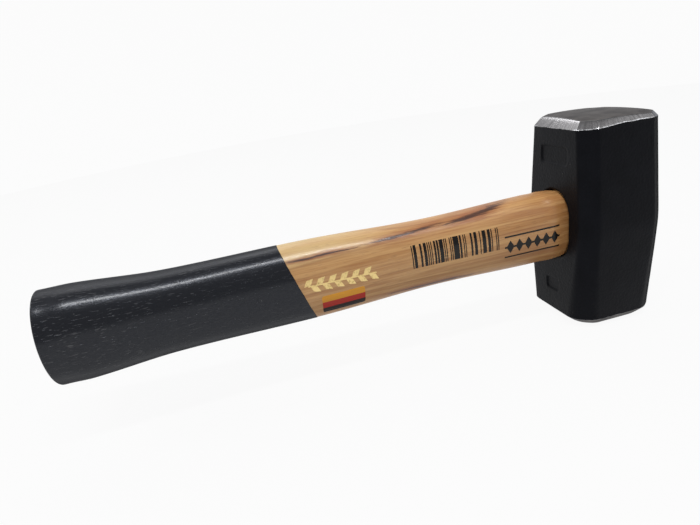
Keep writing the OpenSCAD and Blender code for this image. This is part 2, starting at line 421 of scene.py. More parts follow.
class Effects:
    """Shader node groups that more than one finish uses."""

    PITH: Spot = (0.0, 0.022, -0.012)

    def __init__(self) -> None:
        """Build each group once."""
        self.fibre = self._fibre()
        self.rings = self._rings()
        self.pores = self._pores()
        self.dust = self._dust()
        self.grinding = self._grinding()
        self.peel = self._peel()

    def _fibre(self) -> bpy.types.NodeTree:
        """Fine wood fibres that run along X."""
        s, given, end = open_group("wood_fibre", ["Shade"], Vector=None, Along=40.0, Across=1500.0)
        stretched = s.stretch(given["Vector"], given["Along"], given["Across"])
        s.fill(end, Shade=s.noise(stretched, 1.0, 3.0, 0.6))
        return s.tree

    def _rings(self) -> bpy.types.NodeTree:
        """Growth rings of a plank, round a pith that lies beside the piece."""
        s, given, end = open_group(
            "growth_rings", ["Shade", "Line"], Vector=None, Spacing=0.0024, Wobble=0.004
        )
        stretched = s.vector("MULTIPLY", given["Vector"], (9.0, 55.0, 55.0))
        wander = s.times(s.noise(stretched, 1.0, 2.0), given["Wobble"])
        part = s.split(s.vector("SUBTRACT", given["Vector"], self.PITH))
        flat = s.join(0.0, part["Y"], part["Z"])
        far = s.add("ShaderNodeVectorMath", {0: flat}, operation="LENGTH").outputs["Value"]
        phase = s.math("FRACT", s.math("DIVIDE", s.math("ADD", far, wander), given["Spacing"]))
        shade = s.times(s.ramp(phase, 0.0, 0.75), s.ramp(phase, 0.82, 1.0, (1.0, 0.0)))
        beside = s.math("ABSOLUTE", s.math("SUBTRACT", phase, 0.86))
        s.fill(end, Shade=shade, Line=s.ramp(beside, 0.0, 0.12, (1.0, 0.0)))
        return s.tree

    def _pores(self) -> bpy.types.NodeTree:
        """Short open pores of ring-porous wood, along X."""
        s, given, end = open_group(
            "wood_pores", ["Mask"], Vector=None, Along=220.0, Across=3200.0, Limit=0.66
        )
        stretched = s.stretch(given["Vector"], given["Along"], given["Across"])
        top = s.math("ADD", given["Limit"], 0.07)
        s.fill(end, Mask=s.ramp(s.noise(stretched, 1.0, 1.0), given["Limit"], top))
        return s.tree

    def _dust(self) -> bpy.types.NodeTree:
        """Sparse specks of dust and tiny paint nibs."""
        s, given, end = open_group(
            "dust_specks", ["Mask"], Vector=None, Scale=260.0, Radius=0.09, Share=0.3
        )
        cell = s.add("ShaderNodeTexVoronoi", {"Vector": given["Vector"], "Scale": given["Scale"]})
        near = s.math("LESS_THAN", cell.outputs["Distance"], given["Radius"])
        pick = s.add("ShaderNodeSeparateColor", {0: cell.outputs["Color"]}).outputs[0]
        s.fill(end, Mask=s.times(near, s.math("LESS_THAN", pick, given["Share"])))
        return s.tree

    def _grinding(self) -> bpy.types.NodeTree:
        """Fine grinding lines that run up and down round the head's axis."""
        s, given, end = open_group("grinding_lines", ["Shade"], Vector=None, Fineness=90.0)
        part = s.split(given["Vector"])
        turn = s.math("ARCTAN2", part["Y"], part["X"])
        lines = s.join(s.times(turn, given["Fineness"]), s.times(part["Z"], 60.0), 0.0)
        s.fill(end, Shade=s.noise(lines, 1.0, 3.0, 0.7))
        return s.tree

    def _peel(self) -> bpy.types.NodeTree:
        """Soft orange peel of paint over a forged or sanded surface."""
        s, given, end = open_group(
            "paint_peel", ["Height"], Vector=None, Scale=900.0, Coarse_Share=0.35
        )
        fine = s.noise(given["Vector"], given["Scale"])
        coarse = s.noise(given["Vector"], s.times(given["Scale"], 0.22))
        s.fill(end, Height=s.blend(given["Coarse Share"], fine, coarse))
        return s.tree


# Finishes


class Surface(Shader):
    """Node tree of a new material, on which the shared effects are laid."""

    def __init__(self, name: str, **fixed: object) -> None:
        """Start the material.

        Args:
            name: Name of the material.
            **fixed: Values of the shader's own sockets, with underscores for spaces.
        """
        self.material = bpy.data.materials.new(name)
        self.material.use_nodes = True
        super().__init__(self.material.node_tree)
        self.place = self.add("ShaderNodeTexCoord").outputs["Object"]
        self.skin = self.fill(self.tree.nodes["Principled BSDF"], **fixed)

    def here(self, scale: float, detail: float = 2.0, rough: float = 0.5) -> Socket:
        """Value of a Noise texture at the object coordinates."""
        return self.noise(self.place, scale, detail, rough)

    def lay(self, effect: bpy.types.NodeTree, **inputs: object) -> Socket:
        """First output of a shared effect at the object coordinates."""
        return self.group(effect, Vector=self.place, **inputs)[0]

    def finish(self, **inputs: object) -> bpy.types.Material:
        """The material, once inputs of its shader are fed by name."""
        self.fill(self.skin, **inputs)
        return self.material


@dataclass(frozen=True)
class Streak:
    """A dark mineral streak on the handle's near side, in millimetres from the head's middle."""

    start_x: float
    end_x: float
    start_z: float
    end_z: float
    width: float


@dataclass(frozen=True)
class Hickory:
    """Clear-lacquered straight-grained hickory with a few mineral streaks, in metres."""

    light: Colour = (0.585, 0.34, 0.137, 1.0)
    dark: Colour = (0.37, 0.162, 0.052, 1.0)
    # Pale colour of the painted sheen on top beside the grip, where the lacquer's broad highlight
    # falls.
    painted_sheen: Colour = (0.6, 0.455, 0.215, 1.0)
    pore: Colour = (0.2, 0.09, 0.035, 1.0)
    halo: Colour = (0.27, 0.085, 0.028, 1.0)
    streak: Colour = (0.045, 0.016, 0.01, 1.0)
    streaks: tuple[Streak, ...] = (
        Streak(-168.0, -110.0, 13.2, 12.6, 0.7),
        Streak(-132.0, -66.0, 13.0, 14.0, 1.0),
        Streak(-92.0, -38.0, 12.3, 17.5, 1.35),
        Streak(-126.0, -54.0, -11.7, -12.8, 1.3),
    )
    streak_wander: float = 0.0016
    streak_fade: float = 0.42
    streak_depth: float = 0.003
    streak_ragged: float = 2.4
    streak_share: float = 0.92
    halo_width: float = 3.0
    halo_share: float = 0.85
    ring_spacing: float = 0.0036
    ring_wobble: float = 0.009
    ring_share: float = 0.2
    ring_line: float = 0.3
    band_share: float = 0.8
    pore_share: float = 0.35
    tone_range: tuple[float, float] = (0.12, 0.98)
    # Painted shade: over this stretch of X the wood's tone darkens towards the head.
    head_shade_x: tuple[float, float] = (-0.075, -0.03)
    # Where the painted sheen lies: a stretch of X beside the grip, and its rise above the axis.
    sheen_x: tuple[float, float] = (-0.155, -0.085)
    sheen_up: tuple[float, float] = (0.008, 0.0145)
    rough: tuple[float, float] = (0.3, 0.5)
    relief: float = 0.00014

    def streak_masks(self, s: Surface, rise: float) -> tuple[Socket, Socket]:
        """Masks of the dark streaks and of the reddish wood round them.

        Args:
            s: The wood's surface.
            rise: Height of the handle's axis, in metres.

        Returns:
            The mask of the streaks and the mask of the wood round them, which are 1 in the middle.
        """
        wander = s.times(s.here(40.0, 1.0), self.streak_wander)
        part = s.split(s.place)
        narrow: object = 0.0
        wide: object = 0.0
        for streak in self.streaks:
            start, end = streak.start_x * MM, streak.end_x * MM
            tilt = (streak.end_z - streak.start_z) / (streak.end_x - streak.start_x)
            middle = rise + streak.start_z * MM - self.streak_wander / 2.0
            line = s.math("MULTIPLY_ADD", s.math("SUBTRACT", part["X"], start), tilt, middle)
            off = s.math("ABSOLUTE", s.math("SUBTRACT", part["Z"], s.math("ADD", line, wander)))
            fade = (end - start) * self.streak_fade
            leave = s.ramp(part["X"], end - fade, end, (1.0, 0.0))
            inside = s.times(s.ramp(part["X"], start, start + fade), leave)
            core = s.ramp(off, 0.0, streak.width * MM, (1.0, 0.0))
            halo = s.ramp(off, 0.0, streak.width * MM * self.halo_width, (1.0, 0.0))
            narrow = s.math("MAXIMUM", narrow, s.times(core, inside))
            wide = s.math("MAXIMUM", wide, s.times(halo, inside))
        broken = s.noise(s.vector("MULTIPLY", s.place, (90.0, 1700.0, 1700.0)), 1.0, 3.0, 0.7)
        rough = s.times(s.math("SUBTRACT", broken, 0.5), self.streak_ragged)
        worn = s.times(s.ramp(s.math("ADD", narrow, rough), 0.25, 0.9), s.ramp(narrow, 0.0, 0.4))
        spread = s.math("MULTIPLY_ADD", rough, 0.6, wide)
        around = s.times(s.ramp(spread, 0.05, 1.05), s.ramp(wide, 0.0, 0.4))
        near = s.ramp(part["Y"], 0.0, self.streak_depth, (1.0, 0.0))
        return s.times(worn, near), s.times(around, near)

    def wood(self, s: Surface, tone: Socket, rise: float) -> Socket:
        """Colour of the wood, with painted shade by the head and painted sheen on top by the grip.

        Args:
            s: The wood's surface.
            tone: How dark the grain is, from 0 to 1.
            rise: Height of the handle's axis, in metres.

        Returns:
            The colour.
        """
        part = s.split(s.place)
        # Painted shade: the grain's tone is darkened towards the head, where less light reaches the
        # wood.
        tone = s.math("ADD", tone, s.ramp(part["X"], *self.head_shade_x, (0.0, 0.22)))
        common = s.mix(s.ramp(tone, *self.tone_range), self.light, self.dark)
        # Painted sheen: on top beside the grip the wood is mixed towards a paler colour, as the
        # lacquer's broad highlight would show.
        painted_sheen = s.mix(s.ramp(tone, *self.tone_range, (0.0, 0.45)), self.painted_sheen, self.dark)
        low, high = self.sheen_up
        above = s.ramp(part["Z"], rise + low, rise + high, (0.0, 0.85))
        return s.mix(s.times(above, s.ramp(part["X"], *self.sheen_x, (1.0, 0.0))), common, painted_sheen)

    def build(self, effects: Effects, rise: float) -> bpy.types.Material:
        """Build the material.

        Args:
            effects: The shared node groups.
            rise: Height of the handle's axis, in metres.

        Returns:
            The finished material.
        """
        s = Surface("hickory_lacquered", Specular_IOR_Level=0.3, Coat_Roughness=0.26, Coat_IOR=1.5)
        sizes = {"Spacing": self.ring_spacing, "Wobble": self.ring_wobble}
        rings = s.group(effects.rings, Vector=s.place, **sizes)
        fibre = s.lay(effects.fibre)
        coarse = s.lay(effects.fibre, Along=14.0, Across=260.0)
        grit = s.lay(effects.fibre, Along=420.0, Across=2600.0)
        pores = s.lay(effects.pores)
        bands = s.times(coarse, self.band_share)
        tone = s.math("MULTIPLY_ADD", rings["Shade"], self.ring_share, bands)
        tone = s.math("ADD", s.math("SUBTRACT", fibre, 0.5), tone)
        streaks, halo = self.streak_masks(s, rise)
        colour = self.wood(s, tone, rise)
        for share, shade in (
            (s.times(rings["Line"], s.ramp(coarse, 0.42, 0.62, (0.0, self.ring_line))), self.pore),
            (s.times(pores, self.pore_share), self.pore),
            (s.times(halo, self.halo_share), self.halo),
            (s.times(streaks, self.streak_share), self.streak),
        ):
            colour = s.mix(share, colour, shade)
        height = s.math("SUBTRACT", s.times(fibre, 0.6), s.times(pores, 0.7))
        gloss = s.times(s.ramp(grit, 0.35, 0.65, (0.3, 1.0)), s.facing(0.12, 0.42, (1.0, 0.12)))
        return s.finish(
            Base_Color=colour,
            Roughness=s.blend(fibre, *self.rough),
            Coat_Weight=gloss,
            Normal=s.bump(height, 0.4, self.relief),
        )


@dataclass(frozen=True)
class EndWood:
    """Raw hardwood of the wedge, driven in and cut flush."""

    light: Colour = (0.44, 0.27, 0.13, 1.0)
    dark: Colour = (0.22, 0.11, 0.05, 1.0)
    rough: tuple[float, float] = (0.6, 0.85)
    relief: float = 0.0002

    def build(self, effects: Effects) -> bpy.types.Material:
        """Build the material.

        Args:
            effects: The shared node groups.

        Returns:
            The finished material.
        """
        s = Surface("wedge_wood_raw", Specular_IOR_Level=0.25)
        across = s.lay(effects.fibre, Along=900.0, Across=1300.0)
        rings = s.lay(effects.rings, Spacing=0.0034, Wobble=0.004)
        tone = s.math("MULTIPLY_ADD", rings, 0.22, s.times(across, 0.85))
        return s.finish(
            Base_Color=s.mix(s.ramp(tone, 0.25, 0.85), self.light, self.dark),
            Roughness=s.blend(across, *self.rough),
            Normal=s.bump(across, 0.5, self.relief),
        )


@dataclass(frozen=True)
class GripLacquer:
    """Black dipped lacquer through which the pores of the wood still show."""

    black: Colour = (0.0085, 0.0092, 0.0118, 1.0)
    # Grey of the pores, a painted glint on their edges, and of the dust specks.
    worn: Colour = (0.06, 0.06, 0.064, 1.0)
    patch_scale: float = 45.0
    speck_share: float = 0.8
    rough: tuple[float, float] = (0.16, 0.32)
    relief: float = 0.00016

    def build(self, effects: Effects) -> bpy.types.Material:
        """Build the material.

        Args:
            effects: The shared node groups.

        Returns:
            The finished material.
        """
        s = Surface(
            "grip_lacquer_black",
            Specular_IOR_Level=0.22,
            Specular_Tint=(0.8, 0.86, 1.0, 1.0),
            Coat_Roughness=0.17,
            Coat_IOR=1.5,
        )
        pores = s.lay(effects.pores, Along=260.0, Across=2300.0, Limit=0.635)
        fibre = s.lay(effects.fibre, Along=70.0, Across=1100.0)
        grit = s.lay(effects.fibre, Along=700.0, Across=2600.0)
        specks = s.lay(effects.dust, Scale=330.0, Radius=0.1, Share=0.12)
        speckle = s.lay(effects.peel, Scale=2000.0)
        # Painted glints: the pores are coloured grey in random patches, as light glinting on their
        # edges would show; dust specks share that grey.
        patch = s.ramp(s.here(self.patch_scale), 0.4, 0.65)
        light = s.times(pores, s.math("MULTIPLY_ADD", patch, 0.75, 0.1))
        light = s.math("MAXIMUM", light, s.times(specks, self.speck_share))
        rough = s.math("ADD", s.blend(fibre, *self.rough), s.facing(0.35, 0.8, (0.0, 0.5)))
        gloss = s.times(s.ramp(grit, 0.35, 0.65, (0.24, 0.4)), s.facing(0.15, 0.5, (1.0, 0.05)))
        height = s.math("SUBTRACT", s.times(s.math("ADD", fibre, grit), 0.35), pores)
        height = s.math("MULTIPLY_ADD", speckle, 0.45, height)
        return s.finish(
            Base_Color=s.mix(light, self.black, self.worn),
            Roughness=rough,
            Coat_Weight=gloss,
            Normal=s.bump(height, 0.6, self.relief),
        )


@dataclass(frozen=True)
class HeadFinish:
    """Black paint over a forging, with bare ground steel at both ends, in metres."""

    paint: Colour = (0.0042, 0.0045, 0.006, 1.0)
    speck: Colour = (0.045, 0.042, 0.038, 1.0)
    bevel_steel: Colour = (0.225, 0.221, 0.224, 1.0)
    # Steel of the faces; on the lower bevel this darker steel is painted shade.
    face_and_shade_steel: Colour = (0.158, 0.147, 0.137, 1.0)
    # Bare steel of the chips, painted far brighter than the ground steel as a glint along the
    # paint's edge.
    chip_glint_steel: Colour = (0.84, 0.85, 0.88, 1.0)
    paint_lift: float = 0.00016
    chip_width: float = 0.0004
    chip_y: tuple[float, float] = (0.0126, 0.0145)
    chip_x: tuple[float, float] = (0.011, 0.015)
    ragged_scale: float = 1300.0
    torn_scale: float = 260.0
    cloud_scale: float = 160.0
    mottle_scale: float = 90.0
    bevel_rough: tuple[float, float] = (0.15, 0.27)
    face_rough: float = 0.46
    paint_rough: tuple[float, float] = (0.42, 0.56)
    relief: float = 0.00022

    def chips(self, s: Surface, part: Sockets, above: Socket, ragged: Socket) -> Socket:
        """Mask of chips at the paint's edge on the upper end's corners, painted bright as glints.

        Args:
            s: The head's surface.
            part: X, Y and Z of the object coordinates.
            above: Height above the paint's edge, in metres.
            ragged: Noise that breaks the chips up.

        Returns:
            The mask before it is kept to the upper end.
        """
        beside = s.ramp(s.math("ABSOLUTE", part["Y"]), *self.chip_y)
        beside = s.times(beside, s.ramp(part["X"], *self.chip_x, (1.0, 0.2)))
        worn = s.times(s.ramp(ragged, 0.3, 0.6), beside)
        return s.times(s.ramp(above, self.chip_width * 0.4, self.chip_width, (1.0, 0.0)), worn)

    def build(self, effects: Effects, paint_z: float, middle: float) -> bpy.types.Material:
        """Build the material.

        Args:
            effects: The shared node groups.
            paint_z: Height of the paint's edge above the head's middle, in metres.
            middle: Height of the head's middle, in metres.

        Returns:
            The finished material.
        """
        s = Surface(
            "head_paint_and_steel",
            Specular_IOR_Level=0.15,
            Specular_Tint=(0.42, 0.43, 0.46, 1.0),
        )
        part = s.split(s.place)
        lines = s.lay(effects.grinding)
        coarse = s.lay(effects.grinding, Fineness=26.0)
        peel = s.lay(effects.peel)
        specks = s.lay(effects.dust, Scale=430.0, Radius=0.09, Share=0.03)
        face = s.mark("face")
        upper = s.math("GREATER_THAN", part["Z"], middle)
        ragged = s.here(self.ragged_scale, 3.0, 0.7)
        torn = s.times(s.ramp(s.here(self.torn_scale), 0.35, 0.7), 1.4)
        level = s.math("MULTIPLY_ADD", s.mark("raised"), upper, paint_z)
        edge = s.math("MULTIPLY_ADD", s.times(ragged, torn), self.paint_lift * 2.0, level)
        up = s.math("ABSOLUTE", s.math("SUBTRACT", part["Z"], middle))
        above = s.math("SUBTRACT", up, s.math("SUBTRACT", edge, self.paint_lift))
        bare = s.math("GREATER_THAN", above, 0.0)
        chip = s.times(self.chips(s, part, above, ragged), upper)
        groove = s.math("MULTIPLY_ADD", lines, 0.5, s.times(coarse, 0.5))
        bevel = s.vector("MULTIPLY", self.bevel_steel[:3], s.ramp(groove, 0.35, 0.65, (0.68, 1.32)))
        cloud = s.ramp(s.here(self.cloud_scale, 4.0, 0.6), 0.3, 0.7, (0.75, 1.2))
        # Painted shade: the face steel also colours the lower bevel, which is marked as face, so it
        # reads darker than the upper bevel.
        face_and_shade_tone = s.vector("MULTIPLY", self.face_and_shade_steel[:3], cloud)
        # The chips are real wear, but their near-white steel is a painted glint.
        steel = s.mix(s.times(chip, 0.95), s.mix(face, bevel, face_and_shade_tone), self.chip_glint_steel)
        mottle = s.ramp(s.here(self.mottle_scale, 3.0), 0.3, 0.7, (0.85, 1.15))
        mottle = s.times(s.blend(peel, 0.6, 1.4), mottle)
        paint = s.mix(specks, s.vector("MULTIPLY", self.paint[:3], mottle), self.speck)
        steel_rough = s.blend(face, s.blend(lines, *self.bevel_rough), self.face_rough)
        paint_rough = s.blend(peel, *self.paint_rough)
        paint_rough = s.math("ADD", paint_rough, s.facing(0.5, 0.95, (0.0, 0.4)))
        ground = s.blend(face, s.times(groove, 0.22), s.times(peel, 0.12))
        return s.finish(
            Base_Color=s.mix(bare, paint, steel),
            Metallic=bare,
            Roughness=s.blend(bare, paint_rough, steel_rough),
            Normal=s.bump(s.blend(bare, peel, ground), 1.0, self.relief),
        )


@dataclass(frozen=True)
class WedgeSteel:
    """Plain steel of the ring wedge, marked by the hammer that drove it in."""

    steel: Colour = (0.36, 0.36, 0.37, 1.0)
    stain: Colour = (0.13, 0.11, 0.1, 1.0)
    stain_scale: float = 420.0
    rough: tuple[float, float] = (0.34, 0.6)
    relief: float = 0.0002

    def build(self, effects: Effects) -> bpy.types.Material:
        """Build the material.

        Args:
            effects: The shared node groups.

        Returns:
            The finished material.
        """
        s = Surface("wedge_steel_plain", Metallic=1.0)
        peel = s.lay(effects.peel, Scale=1400.0)
        stain = s.ramp(s.here(self.stain_scale, 4.0, 0.65), 0.45, 0.7)
        return s.finish(
            Base_Color=s.mix(stain, self.steel, self.stain),
            Roughness=s.blend(stain, *self.rough),
            Normal=s.bump(peel, 0.6, self.relief),
        )


class Ink(Enum):
    """Colours of the prints on the handle."""

    BLACK = "ink_black"
    GOLD = "foil_gold"
    STRIPES = "label_stripes"


@dataclass(frozen=True)
class PrintFinish:
    """Ink, foil or label under the handle's clear lacquer."""

    ink: Ink
    black: Colour = (0.006, 0.0055, 0.005, 1.0)
    thin_black: Colour = (0.36, 0.2, 0.09, 1.0)
    gold: Colour = (0.83, 0.62, 0.26, 1.0)
    gold_dark: Colour = (0.55, 0.38, 0.13, 1.0)
    amber: Colour = (0.76, 0.34, 0.03, 1.0)
    red: Colour = (0.5, 0.03, 0.022, 1.0)
    charcoal: Colour = (0.011, 0.011, 0.012, 1.0)
    grime: Colour = (0.16, 0.08, 0.04, 1.0)
    rub_scale: float = 900.0
    rough: tuple[float, float] = (0.2, 0.35)
    foil_rough: tuple[float, float] = (0.5, 0.3)
    relief: float = 0.0001

    def build(self, effects: Effects) -> bpy.types.Material:
        """Build the material.

        Args:
            effects: The shared node groups.

        Returns:
            The finished material.
        """
        s = Surface(self.ink.value, Specular_IOR_Level=0.05, Coat_Roughness=0.14, Coat_IOR=1.5)
        fibre = s.lay(effects.fibre)
        pores = s.lay(effects.pores)
        dulled, ends = fibre, self.rough
        if self.ink is Ink.BLACK:
            colour = s.mix(s.times(fibre, 0.012), self.black, self.thin_black)
        elif self.ink is Ink.GOLD:
            rubbed = s.ramp(s.here(self.rub_scale, 3.0, 0.7), 0.3, 0.5)
            colour = s.mix(rubbed, self.gold_dark, self.gold)
            dulled, ends = rubbed, self.foil_rough
            s.fill(s.skin, Metallic=s.ramp(rubbed, 0.0, 1.0, (0.5, 0.95)))
        else:
            across = s.mark("across")
            upper = s.math("GREATER_THAN", across, 2.0 / 3.0)
            middle = s.math("GREATER_THAN", across, 1.0 / 3.0)
            colour = s.mix(upper, s.mix(middle, self.charcoal, self.red), self.amber)
            colour = s.mix(s.times(s.ramp(fibre, 0.35, 0.75), 0.22), colour, self.grime)
        height = s.math("SUBTRACT", s.times(fibre, 0.5), pores)
        return s.finish(
            Base_Color=colour,
            Roughness=s.blend(dulled, *ends),
            Coat_Weight=s.facing(0.12, 0.42, (0.5, 0.08)),
            Normal=s.bump(height, 0.3, self.relief),
        )


# The handle's form, which several pieces share


@dataclass(frozen=True)
class HandleForm:
    """Swept form of the handle, in millimetres, with its distance counted from the butt.

    The stations give the distance from the butt, the height and the width of the wood.
    """

    length: float = 231.0
    butt: tuple[float, float, float] = (6.0, 40.8, 32.0)
    heel: tuple[float, float, float] = (48.0, 35.6, 27.4)
    palm: tuple[float, float, float] = (112.0, 35.6, 25.4)
    waist_to_head: float = 66.0
    waist: tuple[float, float] = (31.8, 23.6)
    swell_to_head: float = 17.0
    swell: tuple[float, float] = (34.0, 24.4)
    butt_r: float = 0.8
    butt_dome: float = 0.5
    butt_tilt: float = 0.02
    tilt_end: float = 24.0
    dome_shares: tuple[float, ...] = (0.2, 0.45, 0.7, 0.88)
    rim_share: float = 0.6
    eye_height: float = 31.6
    eye_width: float = 22.0
    eye_flare: float = 1.0
    eye_rim: float = 1.6
    tenon_gap: float = 0.1
    tenon_out: float = 1.5
    squareness: float = 2.2
    butt_squareness: float = 2.0
    square_start: float = 4.0
    square_end: float = 14.0
    mouth_squareness: float = 3.2
    mouth_run: float = 12.0
    neck: float = 0.7
    neck_lift: float = 0.1
    neck_start: float = 8.0
    neck_full: float = 1.0
    neck_end: float = 5.0
    oval_start: float = 0.6
    oval_end: float = 2.2
    head_half: float = 21.4
    fine_turns: int = 361

    @property
    def straight(self) -> float:
        """Half the straight flank of the eye's oval."""
        return (self.eye_height - self.eye_width) / 2.0

    @property
    def mouth_x(self) -> float:
        """Place of the head's handle side along X, from the head's middle."""
        return -self.head_half

    @property
    def end(self) -> float:
        """Distance of the tenon's end from the butt."""
        return self.length + 2.0 * self.head_half + self.tenon_out

    def tenon_r(self, x: np.ndarray | float) -> np.ndarray | float:
        """Radius of the tenon's round ends at places along X from the head's middle."""
        waist = self.eye_width / 2.0 - self.tenon_gap
        return waist + self.eye_flare * np.abs(x) / self.head_half

    def stations(self) -> np.ndarray:
        """Rows of distance, half height and half width, from the butt to the head."""
        mouth_r = float(self.tenon_r(self.head_half))
        rows = [
            self.butt,
            self.heel,
            self.palm,
            (self.length - self.waist_to_head, *self.waist),
            (self.length - self.swell_to_head, *self.swell),
            (self.length, 2.0 * (self.straight + mouth_r), 2.0 * mouth_r),
        ]
        return np.array(rows) * (1.0, 0.5, 0.5)

    def half_sizes(self, s: np.ndarray) -> tuple[np.ndarray, np.ndarray]:
        """Half height and half width of the wood.

        Args:
            s: Distances from the butt.

        Returns:
            Half heights and half widths, one for each distance.
        """
        rows = self.stations()
        at = rows[:, 0]
        slopes = np.zeros_like(rows)
        slopes[1:-1] = (rows[2:] - rows[:-2]) / (at[2:] - at[:-2])[:, None]
        i = np.clip(np.searchsorted(at, s, side="right") - 1, 0, len(at) - 2)
        run = at[i + 1] - at[i]
        u = np.clip((s - at[i]) / run, 0.0, 1.0)
        start = 2 * u**3 - 3 * u**2 + 1
        end = 3 * u**2 - 2 * u**3
        leave = (u**3 - 2 * u**2 + u) * run
        arrive = (u**3 - u**2) * run
        tenon = self.tenon_r(s - self.length + self.mouth_x)
        sizes = []
        for k, beyond in ((1, tenon + self.straight), (2, tenon)):
            inside = start * rows[i, k] + end * rows[i + 1, k]
            inside = inside + leave * slopes[i, k] + arrive * slopes[i + 1, k]
            sizes.append(np.where(s <= self.length, inside, beyond))
        return sizes[0], sizes[1]

    def skin(
        self, s: np.ndarray, turn: np.ndarray, lift: object = 0.0, share: object = 1.0
    ) -> np.ndarray:
        """Points on or above the handle's surface.

        Args:
            s: Distances from the butt.
            turn: Turns round the handle in radians, 0 at +Y and a quarter turn on top.
            lift: Height above the wood.
            share: Share of the full section, for the rings on the butt's end.

        Returns:
            Points in millimetres from the head's middle, with a last axis of three.
        """
        s, turn = np.broadcast_arrays(np.asarray(s, float), np.asarray(turn, float))
        tall, wide = self.half_sizes(s)
        neck = smooth_step(self.length - self.neck_start, self.length, s)
        neck = neck * smooth_step(self.length + self.neck_end, self.length + self.neck_full, s)
        tall = tall * share + lift - neck * self.neck
        wide = wide * share + lift - neck * self.neck
        butt = smooth_step(self.square_end, self.square_start, s)
        mouth = smooth_step(self.length - self.mouth_run, self.length, s)
        square = butt * (self.butt_squareness - self.squareness)
        square = square + mouth * (self.mouth_squareness - self.squareness)
        power = 2.0 / (self.squareness + square)
        cos, sin = np.cos(turn), np.sin(turn)
        y = wide * np.sign(cos) * np.abs(cos) ** power
        z = tall * np.sign(sin) * np.abs(sin) ** power
        far = np.hypot(y, z)
        side, up = np.abs(y) / far, np.abs(z) / far
        flank = wide / np.maximum(side, NEARLY_ZERO)
        flat = tall - wide
        tip = flat * up + np.sqrt(np.maximum(wide**2 - (flat * side) ** 2, 0.0))
        reach = np.where(flank * up <= flat, flank, tip)
        oval = smooth_step(self.length - self.oval_start, self.length + self.oval_end, s)
        scale = 1.0 + (reach / far - 1.0) * oval
        tilt = self.butt_tilt * z * smooth_step(self.tilt_end, self.butt_dome, s)
        z = z * scale + self.neck_lift * neck
        return np.stack([s - self.length + self.mouth_x + tilt, y * scale, z], axis=-1)

    def butt_rows(self, turns: np.ndarray, lift: float, steps: int = 8) -> list[np.ndarray]:
        """Rows of points over the butt's dome and round its rim, which is sharper above.

        Args:
            turns: Turns of the points in a row.
            lift: Height above the wood.
            steps: Rows round the rim.

        Returns:
            The rows, from the middle outwards.
        """
        rows = []
        tall, _ = self.half_sizes(np.array([self.butt[0]]))
        for inner in self.dome_shares:
            back = self.butt_dome * inner * inner - lift
            share = inner * (1.0 - self.butt_r / tall)
            rows.append(self.skin(np.full_like(turns, back), turns, 0.0, share))
        rim = self.butt_r * (1.0 - self.rim_share * np.sin(turns))
        for angle in np.linspace(0.0, math.pi / 2.0, steps + 1):
            at = self.butt_dome + rim * (1.0 - math.cos(angle))
            lower = rim * (1.0 - math.sin(angle))
            row = self.skin(at, turns, lift * math.sin(angle) - lower)
            rows.append(row - (lift * math.cos(angle), 0.0, 0.0))
        return rows

    def turn_at(self, s: np.ndarray, arc: np.ndarray) -> np.ndarray:
        """Turns that lie given arc lengths from the middle of the near side.

        Args:
            s: Distance from the butt of each point.
            arc: Arc length of each point in millimetres, positive upwards.

        Returns:
            Turns in radians.
        """
        turns = np.linspace(math.pi * 1.5, math.pi * 0.5, self.fine_turns)
        stops = np.arange(math.floor(s.min()), math.ceil(s.max()) + 1.0)
        found = np.empty((len(stops), len(arc)))
        for row, stop in zip(found, stops):
            points = self.skin(np.full_like(turns, stop), turns)
            steps = np.linalg.norm(np.diff(points, axis=0), axis=1)
            lengths = np.concatenate([[0.0], np.cumsum(steps)])
            row[:] = np.interp(arc, lengths - np.interp(-math.pi, -turns, lengths), turns)
        at = np.clip(np.floor(s - stops[0]).astype(int), 0, len(stops) - 2)
        share = s - stops[0] - at
        each = np.arange(len(arc))
        return found[at, each] * (1.0 - share) + found[at + 1, each] * share


# Pieces


@dataclass(frozen=True)
class FaceRim:
    """How far a striking face's rim lies below its centre, in millimetres."""

    depth: float
    along_x: float = 0.0
    along_y: float = 0.0
    two_corners: float = 0.0
    four_corners: float = 0.0
    near_edge: float = 0.0
    edge_start: float = -9.0
    edge_reach: float = 20.0
    edge_power: int = 6

    def drop(self, ring: np.ndarray, face_x: float, face_y: float) -> np.ndarray:
        """Drop of the rim at each of its points.

        Args:
            ring: Points of the rim.
            face_x: Size of the face along X.
            face_y: Size of the face along Y.

        Returns:
            One drop for each point.
        """
        x, y = ring[:, 0], ring[:, 1]
        corner = x * y * 4.0 / (face_x * face_y)
        drop = self.depth + self.along_x * x + self.along_y * y
        drop = drop + (self.two_corners + self.four_corners * corner) * corner
        far = np.maximum(x - self.edge_start, 0.0) / self.edge_reach
        near = np.maximum(-y / self.edge_reach, 0.0)
        return drop + self.near_edge * far * near**self.edge_power


